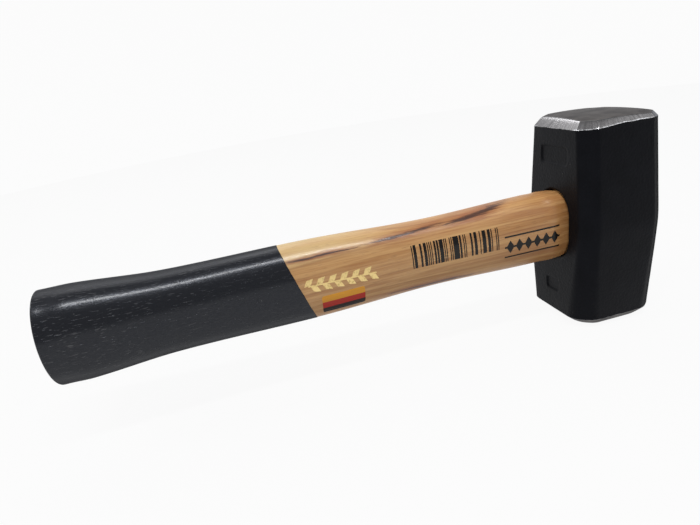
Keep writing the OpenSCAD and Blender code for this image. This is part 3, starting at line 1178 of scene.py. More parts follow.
@dataclass
class HammerHead:
    """The forged head with its ground bevels, crowned faces, eye and stamped panels."""

    end_x: float = 41.6
    end_y: float = 42.6
    face_x: float = 33.2
    face_y: float = 38.2
    bevel_h: float = 4.3
    corner_mid: float = 28.9
    corner_end: float = 25.4
    corner_face: float = 21.5
    corner_turn: float = 52.0
    crown_power: float = 2.2
    upper_rim: FaceRim = FaceRim(0.61, 0.02, -0.012, 0.16, 0.6, 1.1)
    lower_rim: FaceRim = FaceRim(0.4, four_corners=0.3)
    upper_pinch: tuple[float, ...] = (0.0, 0.0, 0.0, 0.0, 0.3, 1.35, 2.2, 0.0)
    cheek_lift: tuple[float, ...] = (0.1, 0.45, 0.65, 0.8, 0.8, 0.7, 0.6)
    low_swell: tuple[float, ...] = (1.5, 0.5, 0.6, 0.35, 0.75, 0.35, 0.6, 0.7)
    low_tuck: float = 1.2
    forged_round: Spot = (8.0, 3.4, 2.2)
    ground_round: float = 0.5
    lower_round: float = 7.0
    bevel_bulge: float = 0.12
    bevel_rows: tuple[float, ...] = (0.07, 0.3, 0.5, 0.66, 0.78, 0.88, 0.95, 1.0)
    face_rows: tuple[float, ...] = (
        0.985,
        0.955,
        0.92,
        0.88,
        0.82,
        0.75,
        0.66,
        0.54,
        0.42,
        0.29,
        0.15,
    )
    rim_soft: float = 0.3
    ridge_round: float = 3.0
    rim_flare: float = 3.0
    flank_flare: float = 0.12
    flare_turn: float = 72.0
    flare_rest: float = 1.5
    flare_steps: int = 7
    eye_sides: int = 96
    unevenness: float = 0.09
    forged_fade: float = 2.0
    forged_waves: tuple[Spot, ...] = ((9.0, 0.0, 0.7), (2.6, 5.0, 0.3))
    panel_depth: float = 0.65
    panel_round: float = 1.8
    panel_wall: float = 0.75
    panel_lip: float = 0.4
    panel_margin: float = 1.2
    panels: tuple[Spot, ...] = ((19.6, 8.4, 33.4), (10.2, 6.6, -32.2))
    side_columns: tuple[int, ...] = (36, 8, 28, 8, 84, 8, 28, 8)
    corner_steps: int = 4
    handle_side: int = 4
    near_sides: tuple[int, int, int] = (5, 6, 7)
    fine_step: float = 0.45
    coarse_step: float = 1.0

    def __post_init__(self) -> None:
        """Take the length and the middle sizes from the frame."""
        low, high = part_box("head")
        self.half = (high.z - low.z) / 2.0 / MM
        self.mid_x = (high.x - low.x) / MM
        self.mid_y = (high.y - low.y) / MM
        self.paint_z = self.half - self.bevel_h
        turn = math.radians(self.corner_turn)
        half_turn = math.pi / 2.0
        quarter = [0.0, turn, half_turn, math.pi - turn]
        self.turns = np.array(quarter + [math.pi + a for a in quarter])

    def supports(self, z: np.ndarray) -> np.ndarray:
        """Distances of the eight sides from the head's axis.

        Args:
            z: Heights above the head's middle.

        Returns:
            One row for each side, in the order of their turns.
        """
        up = np.abs(z)
        body = np.sqrt(np.minimum(up, self.paint_z) ** 2 + self.ridge_round**2) / self.paint_z
        ground = np.maximum(up - self.paint_z, 0.0) / self.bevel_h
        ground = ground + self.bevel_bulge * (ground**5 - ground)
        sides = []
        for mid, end, face in (
            (self.mid_x / 2.0, self.end_x / 2.0, self.face_x / 2.0),
            (self.corner_mid, self.corner_end, self.corner_face),
            (self.mid_y / 2.0, self.end_y / 2.0, self.face_y / 2.0),
        ):
            sides.append(mid - (mid - end) * body - (end - face) * ground)
        along, corner, across = sides
        swell = np.array(self.low_swell)[:, None]
        low = np.where(z < 0.0, swell * np.minimum(up, self.paint_z) / self.paint_z, 0.0)
        low = low - np.where(z < 0.0, (swell + self.low_tuck) * ground, 0.0)
        low = low - np.where(z > 0.0, np.array(self.upper_pinch)[:, None] * ground, 0.0)
        return np.stack([along, corner, across, corner] * 2) + low

    def columns(self) -> list[tuple[int, float, float | None]]:
        """Columns of the head's skin, each with its side and its place on it.

        Returns:
            Side number, share along its straight part, and the turn of a rounded corner or None.
        """
        found = []
        for k, count in enumerate(self.side_columns):
            found += [(k, i / count, None) for i in range(1, count)]
            start, end = self.turns[k], self.turns[(k + 1) % 8]
            end = end + 2.0 * math.pi if end < start else end
            steps = self.corner_steps
            found += [(k, 1.0, start + (end - start) * i / steps) for i in range(steps + 1)]
        return found

    def column_points(self, column: tuple, z: np.ndarray, corner_r: np.ndarray) -> np.ndarray:
        """Points of one column at given heights.

        Args:
            column: Side, share and corner turn, as columns() gives them.
            z: Heights above the head's middle.
            corner_r: Corner radius at each height.

        Returns:
            One row of x, y, z for each height.
        """
        side, share, corner = column
        inner = self.supports(z) - corner_r

        def centre(k: int) -> np.ndarray:
            """Middle of the rounding between a side and the next one, at each height."""
            a, b = self.turns[k % 8], self.turns[(k + 1) % 8]
            da, db = inner[k % 8], inner[(k + 1) % 8]
            x = (da * math.sin(b) - db * math.sin(a)) / math.sin(b - a)
            y = (db * math.cos(a) - da * math.cos(b)) / math.sin(b - a)
            return np.stack([x, y], axis=-1)

        if corner is None:
            middle = centre(side - 1) * (1.0 - share) + centre(side) * share
            look = self.turns[side]
        else:
            middle = centre(side)
            look = corner
        flat = middle + np.stack([corner_r * math.cos(look), corner_r * math.sin(look)], axis=-1)
        return np.column_stack([flat, z])

    def edge_lifts(self, columns: list[tuple]) -> np.ndarray:
        """How far the upper bevel starts above the paint's even level.

        Args:
            columns: The columns of the skin.

        Returns:
            One height for each column.
        """
        knots = np.linspace(0.0, 1.0, len(self.cheek_lift))
        first, last = self.cheek_lift[0], self.cheek_lift[-1]
        left, cheek, right = self.near_sides
        found = []
        for side, share, _ in columns:
            along = np.interp(share, knots, self.cheek_lift)
            lifts = {left: first * share, cheek: along, right: last * (1.0 - share)}
            found.append(lifts.get(side, 0.0))
        return np.array(found)

    def panel_sink(self, y: np.ndarray, z: np.ndarray) -> np.ndarray:
        """Depth of the stamped panels on the handle side.

        Args:
            y: Places along Y.
            z: Heights above the head's middle.

        Returns:
            One depth for each place.
        """
        sink = np.zeros_like(y)
        for width, height, up in self.panels:
            out_y = np.abs(y) - (width / 2.0 - self.panel_round)
            out_z = np.abs(z - up) - (height / 2.0 - self.panel_round)
            outside = np.hypot(np.maximum(out_y, 0.0), np.maximum(out_z, 0.0))
            gap = outside + np.minimum(np.maximum(out_y, out_z), 0.0) - self.panel_round
            wall = smooth_step(self.panel_wall * self.panel_lip, -self.panel_wall, gap)
            sink = np.maximum(sink, wall * self.panel_depth)
        return sink

    def body_heights(self) -> np.ndarray:
        """Heights of the painted rows, closer together where a panel is stamped.

        Returns:
            The heights above the head's middle, from below.
        """
        stops = [-self.paint_z]
        while stops[-1] < self.paint_z:
            z = stops[-1]
            margin = self.panel_margin
            near = any(abs(z - up) < height / 2.0 + margin for _, height, up in self.panels)
            stops.append(z + (self.fine_step if near else self.coarse_step))
        stops[-1] = self.paint_z
        return np.array(stops)

    def end_rows(
        self, columns: list[tuple], side: float, corner_r: float, rim: FaceRim, lifts: np.ndarray
    ) -> tuple[list[np.ndarray], list[float]]:
        """Rows of a bevel and its face, from the paint's edge inwards.

        Args:
            columns: The columns of the skin.
            side: 1 for the upper end and -1 for the lower one.
            corner_r: Corner radius of the ground bevel.
            rim: The rim of the face.
            lifts: Height of each column's start above the paint's even level.

        Returns:
            The rows of points, and how far each is part of the crowned face.
        """
        radius = np.array([corner_r])
        level = np.array([side * (self.half - rim.depth)])
        ring = np.array([self.column_points(c, level, radius)[0] for c in columns])
        drop = rim.drop(ring, self.face_x, self.face_y)
        rows = []
        for share in self.bevel_rows:
            heights = side * (self.paint_z + (self.half - drop - lifts - self.paint_z) * share)
            row = [
                self.column_points(column, heights[k : k + 1], radius)[0]
                for k, column in enumerate(columns)
            ]
            rows.append(np.array(row) + lifts[:, None] * (0.0, 0.0, side))
        edge = len(rows) - 1
        ring = rows[edge]
        for share in self.face_rows:
            row = ring * (share, share, 1.0)
            row[:, 2] = side * (self.half - drop * share**self.crown_power)
            rows.append(row)
        beside = rows[edge - 1] + rows[edge + 1]
        rows[edge] = ring * (1.0 - 2.0 * self.rim_soft) + beside * self.rim_soft
        return rows, [0.0] * edge + [0.5] + [1.0] * len(self.face_rows)

    def skin(self) -> tuple[Skin, dict[str, np.ndarray]]:
        """Closed skin of the head before its eye is cut.

        Returns:
            The skin, and two marks of each point: its share of crowned face, and how far the
            paint's edge lies above its even level there, in metres. The whole lower end, its
            bevel too, is marked as face, so that the lower bevel takes the darker face steel as
            painted shade.
        """
        columns = self.columns()
        heights = self.body_heights()
        knots = [-self.paint_z, -self.paint_z / 3.0, self.paint_z]
        painted = np.interp(heights, knots, self.forged_round)
        body = np.stack([self.column_points(c, heights, painted) for c in columns], axis=1)
        looks = np.array([self.turns[c[0]] if c[2] is None else c[2] for c in columns])
        flat = body.reshape(-1, 3)
        waves = self.forged_waves
        rough = sum(noise_at(flat, size, seed) * share for size, seed, share in waves)
        fade = smooth_step(0.0, self.forged_fade, self.paint_z - np.abs(heights))[:, None]
        sink = (rough.reshape(body.shape[:2]) * 0.5 + 0.5) * self.unevenness * fade
        front = np.array([c[0] == self.handle_side and c[2] is None for c in columns])
        sink = sink + front * self.panel_sink(body[..., 1], body[..., 2])
        body[..., 0] -= np.cos(looks) * sink
        body[..., 1] -= np.sin(looks) * sink
        lifts = self.edge_lifts(columns)
        body[-1, :, 2] += lifts
        upper, faces = self.end_rows(columns, 1.0, self.ground_round, self.upper_rim, lifts)
        lower, _ = self.end_rows(columns, -1.0, self.lower_round, self.lower_rim, lifts * 0.0)
        rows = lower[::-1] + list(body) + upper
        # Painted shade: every lower row, its bevel too, is marked as face, so the lower bevel takes
        # the darker face steel.
        shares = [1.0] * len(lower) + [0.0] * len(heights) + faces
        marks = {
            "face": np.concatenate([np.repeat(shares, len(columns)), [1.0, 1.0]]),
            "raised": np.concatenate([np.tile(lifts, len(rows)), [0.0, 0.0]]) * MM,
        }
        return closed_skin(rows, (0.0, 0.0, -self.half), (0.0, 0.0, self.half)), marks

    def eye_cutter(self, form: HandleForm) -> bpy.types.Object:
        """Waisted oval tunnel with rounded rims, which cuts the eye.

        Args:
            form: The handle's form, which gives the eye.

        Returns:
            The cutter.
        """
        mouth = self.mid_x / 2.0
        inner = mouth - form.eye_rim
        end_r = form.eye_width / 2.0 + form.eye_flare * inner / mouth
        waist = form.eye_width / 2.0
        stops = [(0.0, waist, 0.0), (inner * 0.5, waist + form.eye_flare * 0.5, 0.0)]
        last_turn = math.radians(self.flare_turn)
        for k in range(self.flare_steps + 1):
            a = last_turn * k / self.flare_steps
            x = inner + form.eye_rim * math.sin(a)
            stops.append((x, end_r, self.rim_flare * (1.0 - math.cos(a))))
        slope = self.rim_flare * math.tan(last_turn) / form.eye_rim
        out = mouth + self.flare_rest
        stops.append((out, end_r, stops[-1][2] + slope * (out - stops[-1][0])))
        stops = [(-x, r, flare) for x, r, flare in reversed(stops[1:])] + stops
        turns = round_turns(self.eye_sides)
        middle = np.where(np.sin(turns) >= 0.0, form.straight, -form.straight)
        rows = []
        for x, r, flare in stops:
            side = (r + self.flank_flare * flare) * np.cos(turns)
            rows.append(section(x, side, middle + (r + flare) * np.sin(turns)))
        skin = closed_skin(rows, (-out, 0.0, 0.0), (out, 0.0, 0.0))
        return make_piece("eye_cutter", skin, self.half)

    def build(self, form: HandleForm, finish: bpy.types.Material) -> bpy.types.Object:
        """Build and dress the head.

        Args:
            form: The handle's form, which gives the eye.
            finish: Material of the head.

        Returns:
            The head.
        """
        skin, marks = self.skin()
        head = make_piece("forged_head", skin, self.half, marks)
        return dress(cut(head, [self.eye_cutter(form)]), finish)


@dataclass
class WedgePair:
    """The wooden wedge in the kerf and the steel ring wedge across it."""

    wedge_l: float = 30.0
    wedge_t: float = 4.2
    wedge_tip_t: float = 0.8
    kerf_rest: float = 3.0
    ring_d: float = 16.0
    ring_edge_d: float = 14.8
    ring_wall: float = 1.8
    ring_edge_wall: float = 0.5
    ring_l: float = 12.0
    ring_round: float = 0.35
    gap: float = 0.05
    sides: int = 72
    wedge_rows: int = 9
    wedge_columns: int = 25

    def half_thickness(self, x: float, end_x: float) -> float:
        """Half the wedge's thickness at a place along X."""
        share = min(max((end_x - x) / self.wedge_l, 0.0), 1.0)
        return (self.wedge_t + (self.wedge_tip_t - self.wedge_t) * share) / 2.0

    def ring_skin(self, end_x: float, grow: float, rest: float) -> Skin:
        """Closed skin of the conical ring.

        Args:
            end_x: Place of its outer end along X.
            grow: Gap that is added all round.
            rest: Length that is added beyond its outer end.

        Returns:
            Points and faces.
        """
        outer, edge = self.ring_d / 2.0 + grow, self.ring_edge_d / 2.0 + grow
        inner = self.ring_d / 2.0 - self.ring_wall - grow
        inner_edge = self.ring_edge_d / 2.0 - self.ring_edge_wall - grow
        back = self.ring_l + grow
        bend = self.ring_round if rest == 0.0 else 0.0
        profile = [(-back, edge), (-bend, outer), (rest, outer - bend), (rest, inner + bend)]
        profile += [(-bend, inner), (-back, inner_edge)]
        turns = round_turns(self.sides)
        rows = [section(end_x + x, r * np.cos(turns), r * np.sin(turns)) for x, r in profile]
        total = len(rows) * self.sides
        faces = [tuple(i % total for i in face) for face in grid_faces(len(rows) + 1, self.sides)]
        return np.concatenate(rows), faces

    def wedge_skin(self, form: HandleForm, grow: float, through: bool) -> Skin:
        """Closed skin of the flat wedge, or of the kerf that holds it.

        Args:
            form: The handle's form.
            grow: Gap that is added on both sides.
            through: True for the kerf, which runs right through the tenon.

        Returns:
            Points and faces.
        """
        end_x = form.head_half + form.tenon_out
        tip = end_x - self.wedge_l
        stops = np.linspace(tip, end_x, self.wedge_rows)
        if through:
            stops = np.concatenate([[tip - self.kerf_rest], stops, [end_x + self.kerf_rest]])
        share = np.linspace(-1.0, 1.0, self.wedge_columns)
        rows = []
        for x in stops:
            half = self.half_thickness(x, end_x) + grow
            radius = float(form.tenon_r(x))
            tenon = form.straight + math.sqrt(radius**2 - half**2)
            tall = 2.0 * form.head_half if through else tenon
            side = section(x, np.full_like(share, half), share * tall)
            rows.append(np.concatenate([side, side[::-1] * (1.0, -1.0, 1.0)]))
        return closed_skin(rows, (stops[0], 0.0, 0.0), (stops[-1], 0.0, 0.0))

    def kerf_cutter(self, form: HandleForm, rise: float) -> bpy.types.Object:
        """Shape that cuts the kerf for the wooden wedge."""
        return make_piece("kerf_cutter", self.wedge_skin(form, self.gap, True), rise)

    def ring_cutter(self, form: HandleForm, rise: float) -> bpy.types.Object:
        """Shape that cuts the slot of the ring wedge."""
        end_x = form.head_half + form.tenon_out
        return make_piece("ring_cutter", self.ring_skin(end_x, self.gap, self.kerf_rest), rise)

    def build(
        self, form: HandleForm, rise: float, wood: bpy.types.Material, steel: bpy.types.Material
    ) -> tuple[bpy.types.Object, bpy.types.Object]:
        """Build and dress both wedges.

        Args:
            form: The handle's form.
            rise: Height of the handle's axis.
            wood: Material of the wooden wedge.
            steel: Material of the ring wedge.

        Returns:
            The wooden wedge and the ring wedge.
        """
        wedge = make_piece("flat_wedge", self.wedge_skin(form, 0.0, False), rise)
        dress(cut(wedge, [self.ring_cutter(form, rise)]), wood)
        end_x = form.head_half + form.tenon_out
        ring = make_piece("conical_ring", self.ring_skin(end_x, 0.0, 0.0), rise)
        return wedge, dress(ring, steel)


@dataclass
class WoodHandle:
    """The hickory handle with its tenon, kerf and ring slot."""

    form: HandleForm
    sides: int = 112
    step: float = 1.6
    tenon_chamfer: float = 0.6
    mouth_start: float = -3.0
    mouth_end: float = 6.0
    mouth_step: float = 0.6
    mouth_gap: float = 0.4
    end_shares: tuple[float, ...] = (0.8, 0.55, 0.3)

    def build(self, wedges: WedgePair, rise: float, finish: bpy.types.Material) -> bpy.types.Object:
        """Build and dress the handle, with its rows closer together at the eye's mouth.

        Args:
            wedges: The wedges whose slots are cut.
            rise: Height of the handle's axis.
            finish: Material of the wood.

        Returns:
            The handle.
        """
        form = self.form
        turns = round_turns(self.sides)
        rows = form.butt_rows(turns, 0.0)
        start = form.butt_dome + form.butt_r
        count = round((form.end - self.tenon_chamfer - start) / self.step)
        stops = np.linspace(start, form.end - self.tenon_chamfer, count)[1:]
        near = form.length + np.arange(self.mouth_start, self.mouth_end, self.mouth_step)
        stops = stops[(stops < near[0] - self.mouth_gap) | (stops > near[-1] + self.mouth_gap)]
        for s in np.sort(np.concatenate([stops, near])):
            rows.append(form.skin(np.full_like(turns, s), turns))
        rows.append(form.skin(np.full_like(turns, form.end), turns, -self.tenon_chamfer))
        for share in self.end_shares:
            rows.append(rows[-1] * (1.0, share, share))
        low = form.mouth_x - form.length
        skin = closed_skin(rows, (low, 0.0, 0.0), (low + form.end, 0.0, 0.0))
        handle = make_piece("hickory_handle", skin, rise)
        cutters = [wedges.kerf_cutter(form, rise), wedges.ring_cutter(form, rise)]
        return dress(cut(handle, cutters), finish)


@dataclass
class GripCoating:
    """The black lacquer that the butt half of the handle was dipped in."""

    form: HandleForm
    length: float = 103.0
    slant: float = 18.0
    thickness: float = 0.12
    edge_wander: float = 0.12
    wander_size: float = 0.12
    wander_seed: float = 3.0
    edge_steps: tuple[tuple[float, float], ...] = (
        (0.45, 1.0),
        (0.2, 0.9),
        (0.05, 0.6),
        (0.0, 0.15),
    )
    sides: int = 128
    rows: int = 78

    def edge(self, turns: np.ndarray) -> np.ndarray:
        """Distance of the coating's edge from the butt.

        Args:
            turns: Turns round the handle, in radians.

        Returns:
            One distance for each turn.
        """
        flat = np.full_like(turns, self.length)
        rise = self.form.skin(flat, turns)[:, 2]
        round_it = np.column_stack([np.cos(turns), np.sin(turns), 0.0 * turns])
        drift = noise_at(round_it, self.wander_size, self.wander_seed)
        return flat - math.tan(math.radians(self.slant)) * rise + drift * self.edge_wander

    def side_rows(self, turns: np.ndarray, edge: np.ndarray, lift: float) -> list[np.ndarray]:
        """Rows of points from the butt's dome to just short of the coating's edge.

        Args:
            turns: Turns of the points in a row.
            edge: Distance of the coating's edge from the butt at each turn.
            lift: Height above the wood.

        Returns:
            The rows.
        """
        start = self.form.butt_dome + self.form.butt_r
        shares = np.linspace(0.0, 1.0, self.rows)[1:-1]
        rows = self.form.butt_rows(turns, lift)
        return rows + [self.form.skin(start + (edge - start) * k, turns, lift) for k in shares]

    def build(self, rise: float, finish: bpy.types.Material) -> bpy.types.Object:
        """Build and dress the coating as a thin closed shell.

        Args:
            rise: Height of the handle's axis.
            finish: Material of the lacquer.

        Returns:
            The coating.
        """
        turns = round_turns(self.sides)
        edge = self.edge(turns)
        film = self.thickness
        rows = self.side_rows(turns, edge, film)
        rows += [self.form.skin(edge - back, turns, film * lift) for back, lift in self.edge_steps]
        rows += self.side_rows(turns, edge, 0.0)[::-1]
        low = self.form.mouth_x - self.form.length
        skin = closed_skin(rows, (low - film, 0.0, 0.0), (low, 0.0, 0.0))
        return dress(make_piece("dipped_coating", skin, rise), finish)


# Prints on the handle


class MarkRowTree:
    """Geometry Nodes tree that lays a row of flat marks along X, in millimetres."""

    INPUTS: dict[str, tuple[str, object]] = {
        "Count": ("NodeSocketInt", 10),
        "Step": ("NodeSocketFloat", 1.0),
        "Share": ("NodeSocketFloat", 1.0),
        "Seed": ("NodeSocketInt", 1),
        "Corners": ("NodeSocketInt", 4),
        "First Corner": ("NodeSocketFloat", 0.0),
        "Half Length": ("NodeSocketFloat", 1.0),
        "Half Height": ("NodeSocketFloat", 1.0),
        "Pointed": ("NodeSocketFloat", 0.0),
        "Turn": ("NodeSocketFloat", 0.0),
        "Sway": ("NodeSocketFloat", 0.0),
        "Material": ("NodeSocketMaterial", None),
    }

    def __init__(self) -> None:
        """Build the tree once for every row of marks."""
        self.tree = bpy.data.node_groups.new("mark_row", "GeometryNodeTree")
        face = self.tree.interface
        self.sockets = {}
        for label, (kind, value) in self.INPUTS.items():
            socket = face.new_socket(label, in_out="INPUT", socket_type=kind)
            if value is not None:
                socket.default_value = value
            self.sockets[label] = socket.identifier
        face.new_socket("Geometry", in_out="OUTPUT", socket_type="NodeSocketGeometry")
        self._fill(Shader(self.tree))

    def _fill(self, s: Shader) -> None:
        """Add the nodes: a line of points, one mark on each, made real and given its material.

        Args:
            s: A Shader on the tree.
        """
        given = s.add("NodeGroupInput").outputs
        end = s.add("NodeGroupOutput")
        offset = s.join(given["Step"], 0.0, 0.0)
        line = s.add("GeometryNodeMeshLine", {"Count": given["Count"], "Offset": offset})
        index = s.add("GeometryNodeInputIndex").outputs[0]
        side = s.math("MULTIPLY_ADD", s.math("MODULO", index, 2.0), -2.0, 1.0)
        sway = s.join(0.0, s.times(side, given["Sway"]), 0.0)
        moved = s.add("GeometryNodeSetPosition", {"Geometry": line.outputs[0], "Offset": sway})
        pick = s.add("FunctionNodeRandomValue", data_type="BOOLEAN")
        s.fill(pick, Probability=given["Share"], Seed=given["Seed"], ID=index)
        chosen = [o for o in pick.outputs if o.type == "BOOLEAN"][0]
        disc = {"Vertices": given["Corners"], "Radius": 1.0}
        mark = s.add("GeometryNodeMeshCircle", disc, fill_type="NGON")
        first = s.join(0.0, 0.0, given["First Corner"])
        turned = s.add("GeometryNodeTransform", {"Geometry": mark.outputs[0], "Rotation": first})
        part = s.split(s.add("GeometryNodeInputPosition").outputs[0])
        taper = s.times(s.math("ABSOLUTE", part["X"]), given["Pointed"])
        tall = s.times(s.times(part["Y"], s.math("SUBTRACT", 1.0, taper)), given["Half Height"])
        shaped = s.join(s.times(part["X"], given["Half Length"]), tall, 0.0)
        sized = s.add("GeometryNodeSetPosition", {"Geometry": turned.outputs[0]})
        s.fill(sized, Position=shaped)
        fine = s.add("GeometryNodeSubdivideMesh", {"Mesh": sized.outputs[0], "Level": 3})
        tilt = s.join(0.0, 0.0, s.times(side, given["Turn"]))
        row = s.add("GeometryNodeInstanceOnPoints", {"Points": moved.outputs[0]})
        s.fill(row, Selection=chosen, Instance=fine.outputs[0], Rotation=tilt)
        real = s.add("GeometryNodeRealizeInstances", {"Geometry": row.outputs[0]})
        dressed = s.add("GeometryNodeSetMaterial", {"Geometry": real.outputs[0]})
        s.fill(dressed, Material=given["Material"])
        s.fill(end, Geometry=dressed.outputs[0])

    def run(self, name: str, **values: object) -> Skin:
        """Make one row of marks.

        Args:
            name: Name of the row while it is made.
            **values: Values of the tree's inputs by name, with underscores for spaces.

        Returns:
            Points and faces of the row, flat in X and Y, in millimetres.
        """
        row = place_object(name, bpy.data.meshes.new(name))
        step = row.modifiers.new("marks", "NODES")
        step.node_group = self.tree
        for label, value in values.items():
            step[self.sockets[label.replace("_", " ")]] = value
        mesh = baked(row).data
        bpy.data.objects.remove(row)
        points = np.array([vertex.co for vertex in mesh.vertices])
        return points, [tuple(polygon.vertices) for polygon in mesh.polygons]


def flat_sheet(
    length: float, height: float, columns: int, rows: int, at: Sequence[float] = (0.0, 0.0)
) -> Skin:
    """Flat grid of small quads, in millimetres.

    Args:
        length: Size along the handle.
        height: Size up the handle's side.
        columns: Quads along.
        rows: Quads up.
        at: Place of its lower left corner.

    Returns:
        Points and faces.
    """
    x = np.linspace(0.0, length, columns + 1) + at[0]
    y = np.linspace(0.0, height, rows + 1) + at[1]
    points = np.array([(a, b, 0.0) for b in y for a in x])
    wide = columns + 1
    corners = [r * wide + c for r in range(rows) for c in range(columns)]
    return points, [(a, a + 1, a + 1 + wide, a + wide) for a in corners]


@dataclass
class HandlePrint:
    """A flat print that is laid round the handle."""

    name: str
    form: HandleForm
    start: float
    middle: float
    slope: float = 0.0
    lift: float = 0.035

    def build(
        self,
        flats: Sequence[Skin],
        rise: float,
        finish: bpy.types.Material,
        marks: dict[str, np.ndarray] | None = None,
    ) -> bpy.types.Object:
        """Lay flat skins on the handle and give them one thin closed body.

        Args:
            flats: Flat skins in millimetres, along the handle and up its side, seen from outside.
            rise: Height of the handle's axis.
            finish: Material of the print.
            marks: Attributes of the flat points.

        Returns:
            The print as one piece.
        """
        flat = np.concatenate([points for points, _ in flats])
        faces: list[Face] = []
        first = 0
        for points, rings in flats:
            faces += [tuple(first + i for i in ring) for ring in rings]
            first += len(points)
        s = self.start + flat[:, 0]
        turns = self.form.turn_at(s, self.middle + flat[:, 1] + self.slope * flat[:, 0])
        top = self.form.skin(s, turns, self.lift)
        under = self.form.skin(s, turns, 0.0)
        count = len(flat)
        edges = dict.fromkeys(edge for face in faces for edge in zip(face, face[1:] + face[:1]))
        body = faces + [tuple(i + count for i in reversed(face)) for face in faces]
        body += [(b, a, a + count, b + count) for a, b in edges if (b, a) not in edges]
        doubled = {label: np.concatenate([value, value]) for label, value in (marks or {}).items()}
        piece = make_piece(self.name, (np.concatenate([top, under]), body), rise, doubled)
        return dress(piece, finish)


@dataclass
class HandlePrints:
    """The generic prints on the near side of the handle, with sizes in millimetres."""

    form: HandleForm
    rise: float
    bar_step: float = 0.44
    bar_height: float = 10.6
    bar_overlap: float = 1.02
    label_size: tuple[float, float] = (19.4, 9.6)
    label_corner: float = 0.9
    label_grid: tuple[int, int] = (48, 24)
    line_grid: tuple[int, int] = (60, 1)
    stem_size: tuple[float, float] = (30.4, 0.6)
    stem_at: tuple[float, float] = (-0.5, -0.3)
    stamp_step: float = 4.6
    stamp_line: tuple[float, float] = (28.4, 0.75)
    stamp_line_x: float = -2.7
    stamp_line_up: tuple[float, float] = (-5.4, 4.65)

    def bars(self, tree: MarkRowTree, ink: bpy.types.Material) -> bpy.types.Object:
        """Row of plain bars of uneven width.

        Args:
            tree: Tree of the rows of marks.
            ink: Material of the bars.

        Returns:
            The print.
        """
        root = math.sqrt(2.0)
        row = tree.run(
            "bar_marks",
            Count=95,
            Step=self.bar_step,
            Share=0.52,
            Seed=14,
            Corners=4,
            First_Corner=math.pi / 4.0,
            Half_Length=self.bar_step / 2.0 * root * self.bar_overlap,
            Half_Height=self.bar_height / 2.0 * root,
            Material=ink,
        )
        spot = HandlePrint("bar_print", self.form, start=153.6, middle=3.6, slope=-0.008)
        return spot.build([row], self.rise, ink)

    def ornament(self, tree: MarkRowTree, foil: bpy.types.Material) -> bpy.types.Object:
        """Garland of foil leaves on a stem.

        Args:
            tree: Tree of the rows of marks.
            foil: Material of the garland.

        Returns:
            The print.
        """
        row = tree.run(
            "leaf_marks",
            Count=12,
            Step=2.6,
            Share=1.0,
            Corners=24,
            Half_Length=2.6,
            Half_Height=1.35,
            Pointed=0.8,
            Turn=math.radians(36.0),
            Sway=1.6,
            Material=foil,
        )
        stem = flat_sheet(*self.stem_size, *self.line_grid, self.stem_at)
        spot = HandlePrint("foil_garland", self.form, start=106.4, middle=1.6, slope=-0.02)
        return spot.build([row, stem], self.rise, foil)

    def stamp(self, tree: MarkRowTree, ink: bpy.types.Material) -> bpy.types.Object:
        """Chain of lozenges and beads between two lines.

        Args:
            tree: Tree of the rows of marks.
            ink: Material of the chain.

        Returns:
            The print.
        """
        both = {"Step": self.stamp_step, "Material": ink}
        row = tree.run(
            "lozenge_marks", Count=6, Corners=4, Half_Length=2.0, Half_Height=3.1, **both
        )
        beads, rings = tree.run(
            "bead_marks", Count=7, Corners=16, Half_Length=0.55, Half_Height=0.55, **both
        )
        lines = [
            flat_sheet(*self.stamp_line, *self.line_grid, (self.stamp_line_x, up))
            for up in self.stamp_line_up
        ]
        between = (beads - (self.stamp_step / 2.0, 0.0, 0.0), rings)
        spot = HandlePrint("lozenge_stamp", self.form, start=200.8, middle=-1.9)
        return spot.build([row, between, *lines], self.rise, ink)

    def label(self, finish: bpy.types.Material) -> bpy.types.Object:
        """Plain label of three stripes with rounded corners.

        Args:
            finish: Material of the label.

        Returns:
            The print.
        """
        points, faces = flat_sheet(*self.label_size, *self.label_grid)
        across = points[:, 1] / self.label_size[1]
        centre = np.array(self.label_size) / 2.0
        reach = centre - self.label_corner
        off = points[:, :2] - centre
        over = np.maximum(np.abs(off) - reach, 0.0)
        far = np.hypot(over[:, 0], over[:, 1])
        shrink = np.minimum(self.label_corner / np.maximum(far, NEARLY_ZERO), 1.0)
        kept = np.minimum(np.abs(off), reach) + over * shrink[:, None]
        points[:, :2] = centre + np.sign(off) * kept
        spot = HandlePrint(
            "stripe_label", self.form, start=110.9, middle=-14.0, slope=0.02, lift=0.06
        )
        return spot.build([(points, faces)], self.rise, finish, {"across": across})


# Studio


def pose(thing: bpy.types.Object, place: Sequence[float], axes: Sequence[Vector]) -> None:
    """Place an object and turn its own X, Y and Z to three directions."""
    turn = Matrix(axes).transposed().to_4x4()
    thing.matrix_world = Matrix.Translation(Vector(place)) @ turn


@dataclass(frozen=True)
class Lamp:
    """Rectangular lamp that the camera doesn't see, in metres and watts."""

    name: str
    place: Spot
    aim: Spot
    size: tuple[float, float]
    power: float

    def build(self) -> bpy.types.Object:
        """Hang the lamp, with the length of its size along X.

        Returns:
            The lamp.
        """
        data = bpy.data.lights.new(self.name, "AREA")
        data.shape = "RECTANGLE"
        data.size, data.size_y = self.size
        data.energy = self.power
        lamp = place_object(self.name, data)
        away = (Vector(self.place) - Vector(self.aim)).normalized()
        across = away.cross(Vector((1.0, 0.0, 0.0))).normalized()
        pose(lamp, self.place, (across.cross(away), across, away))
        lamp.visible_camera = False
        return lamp


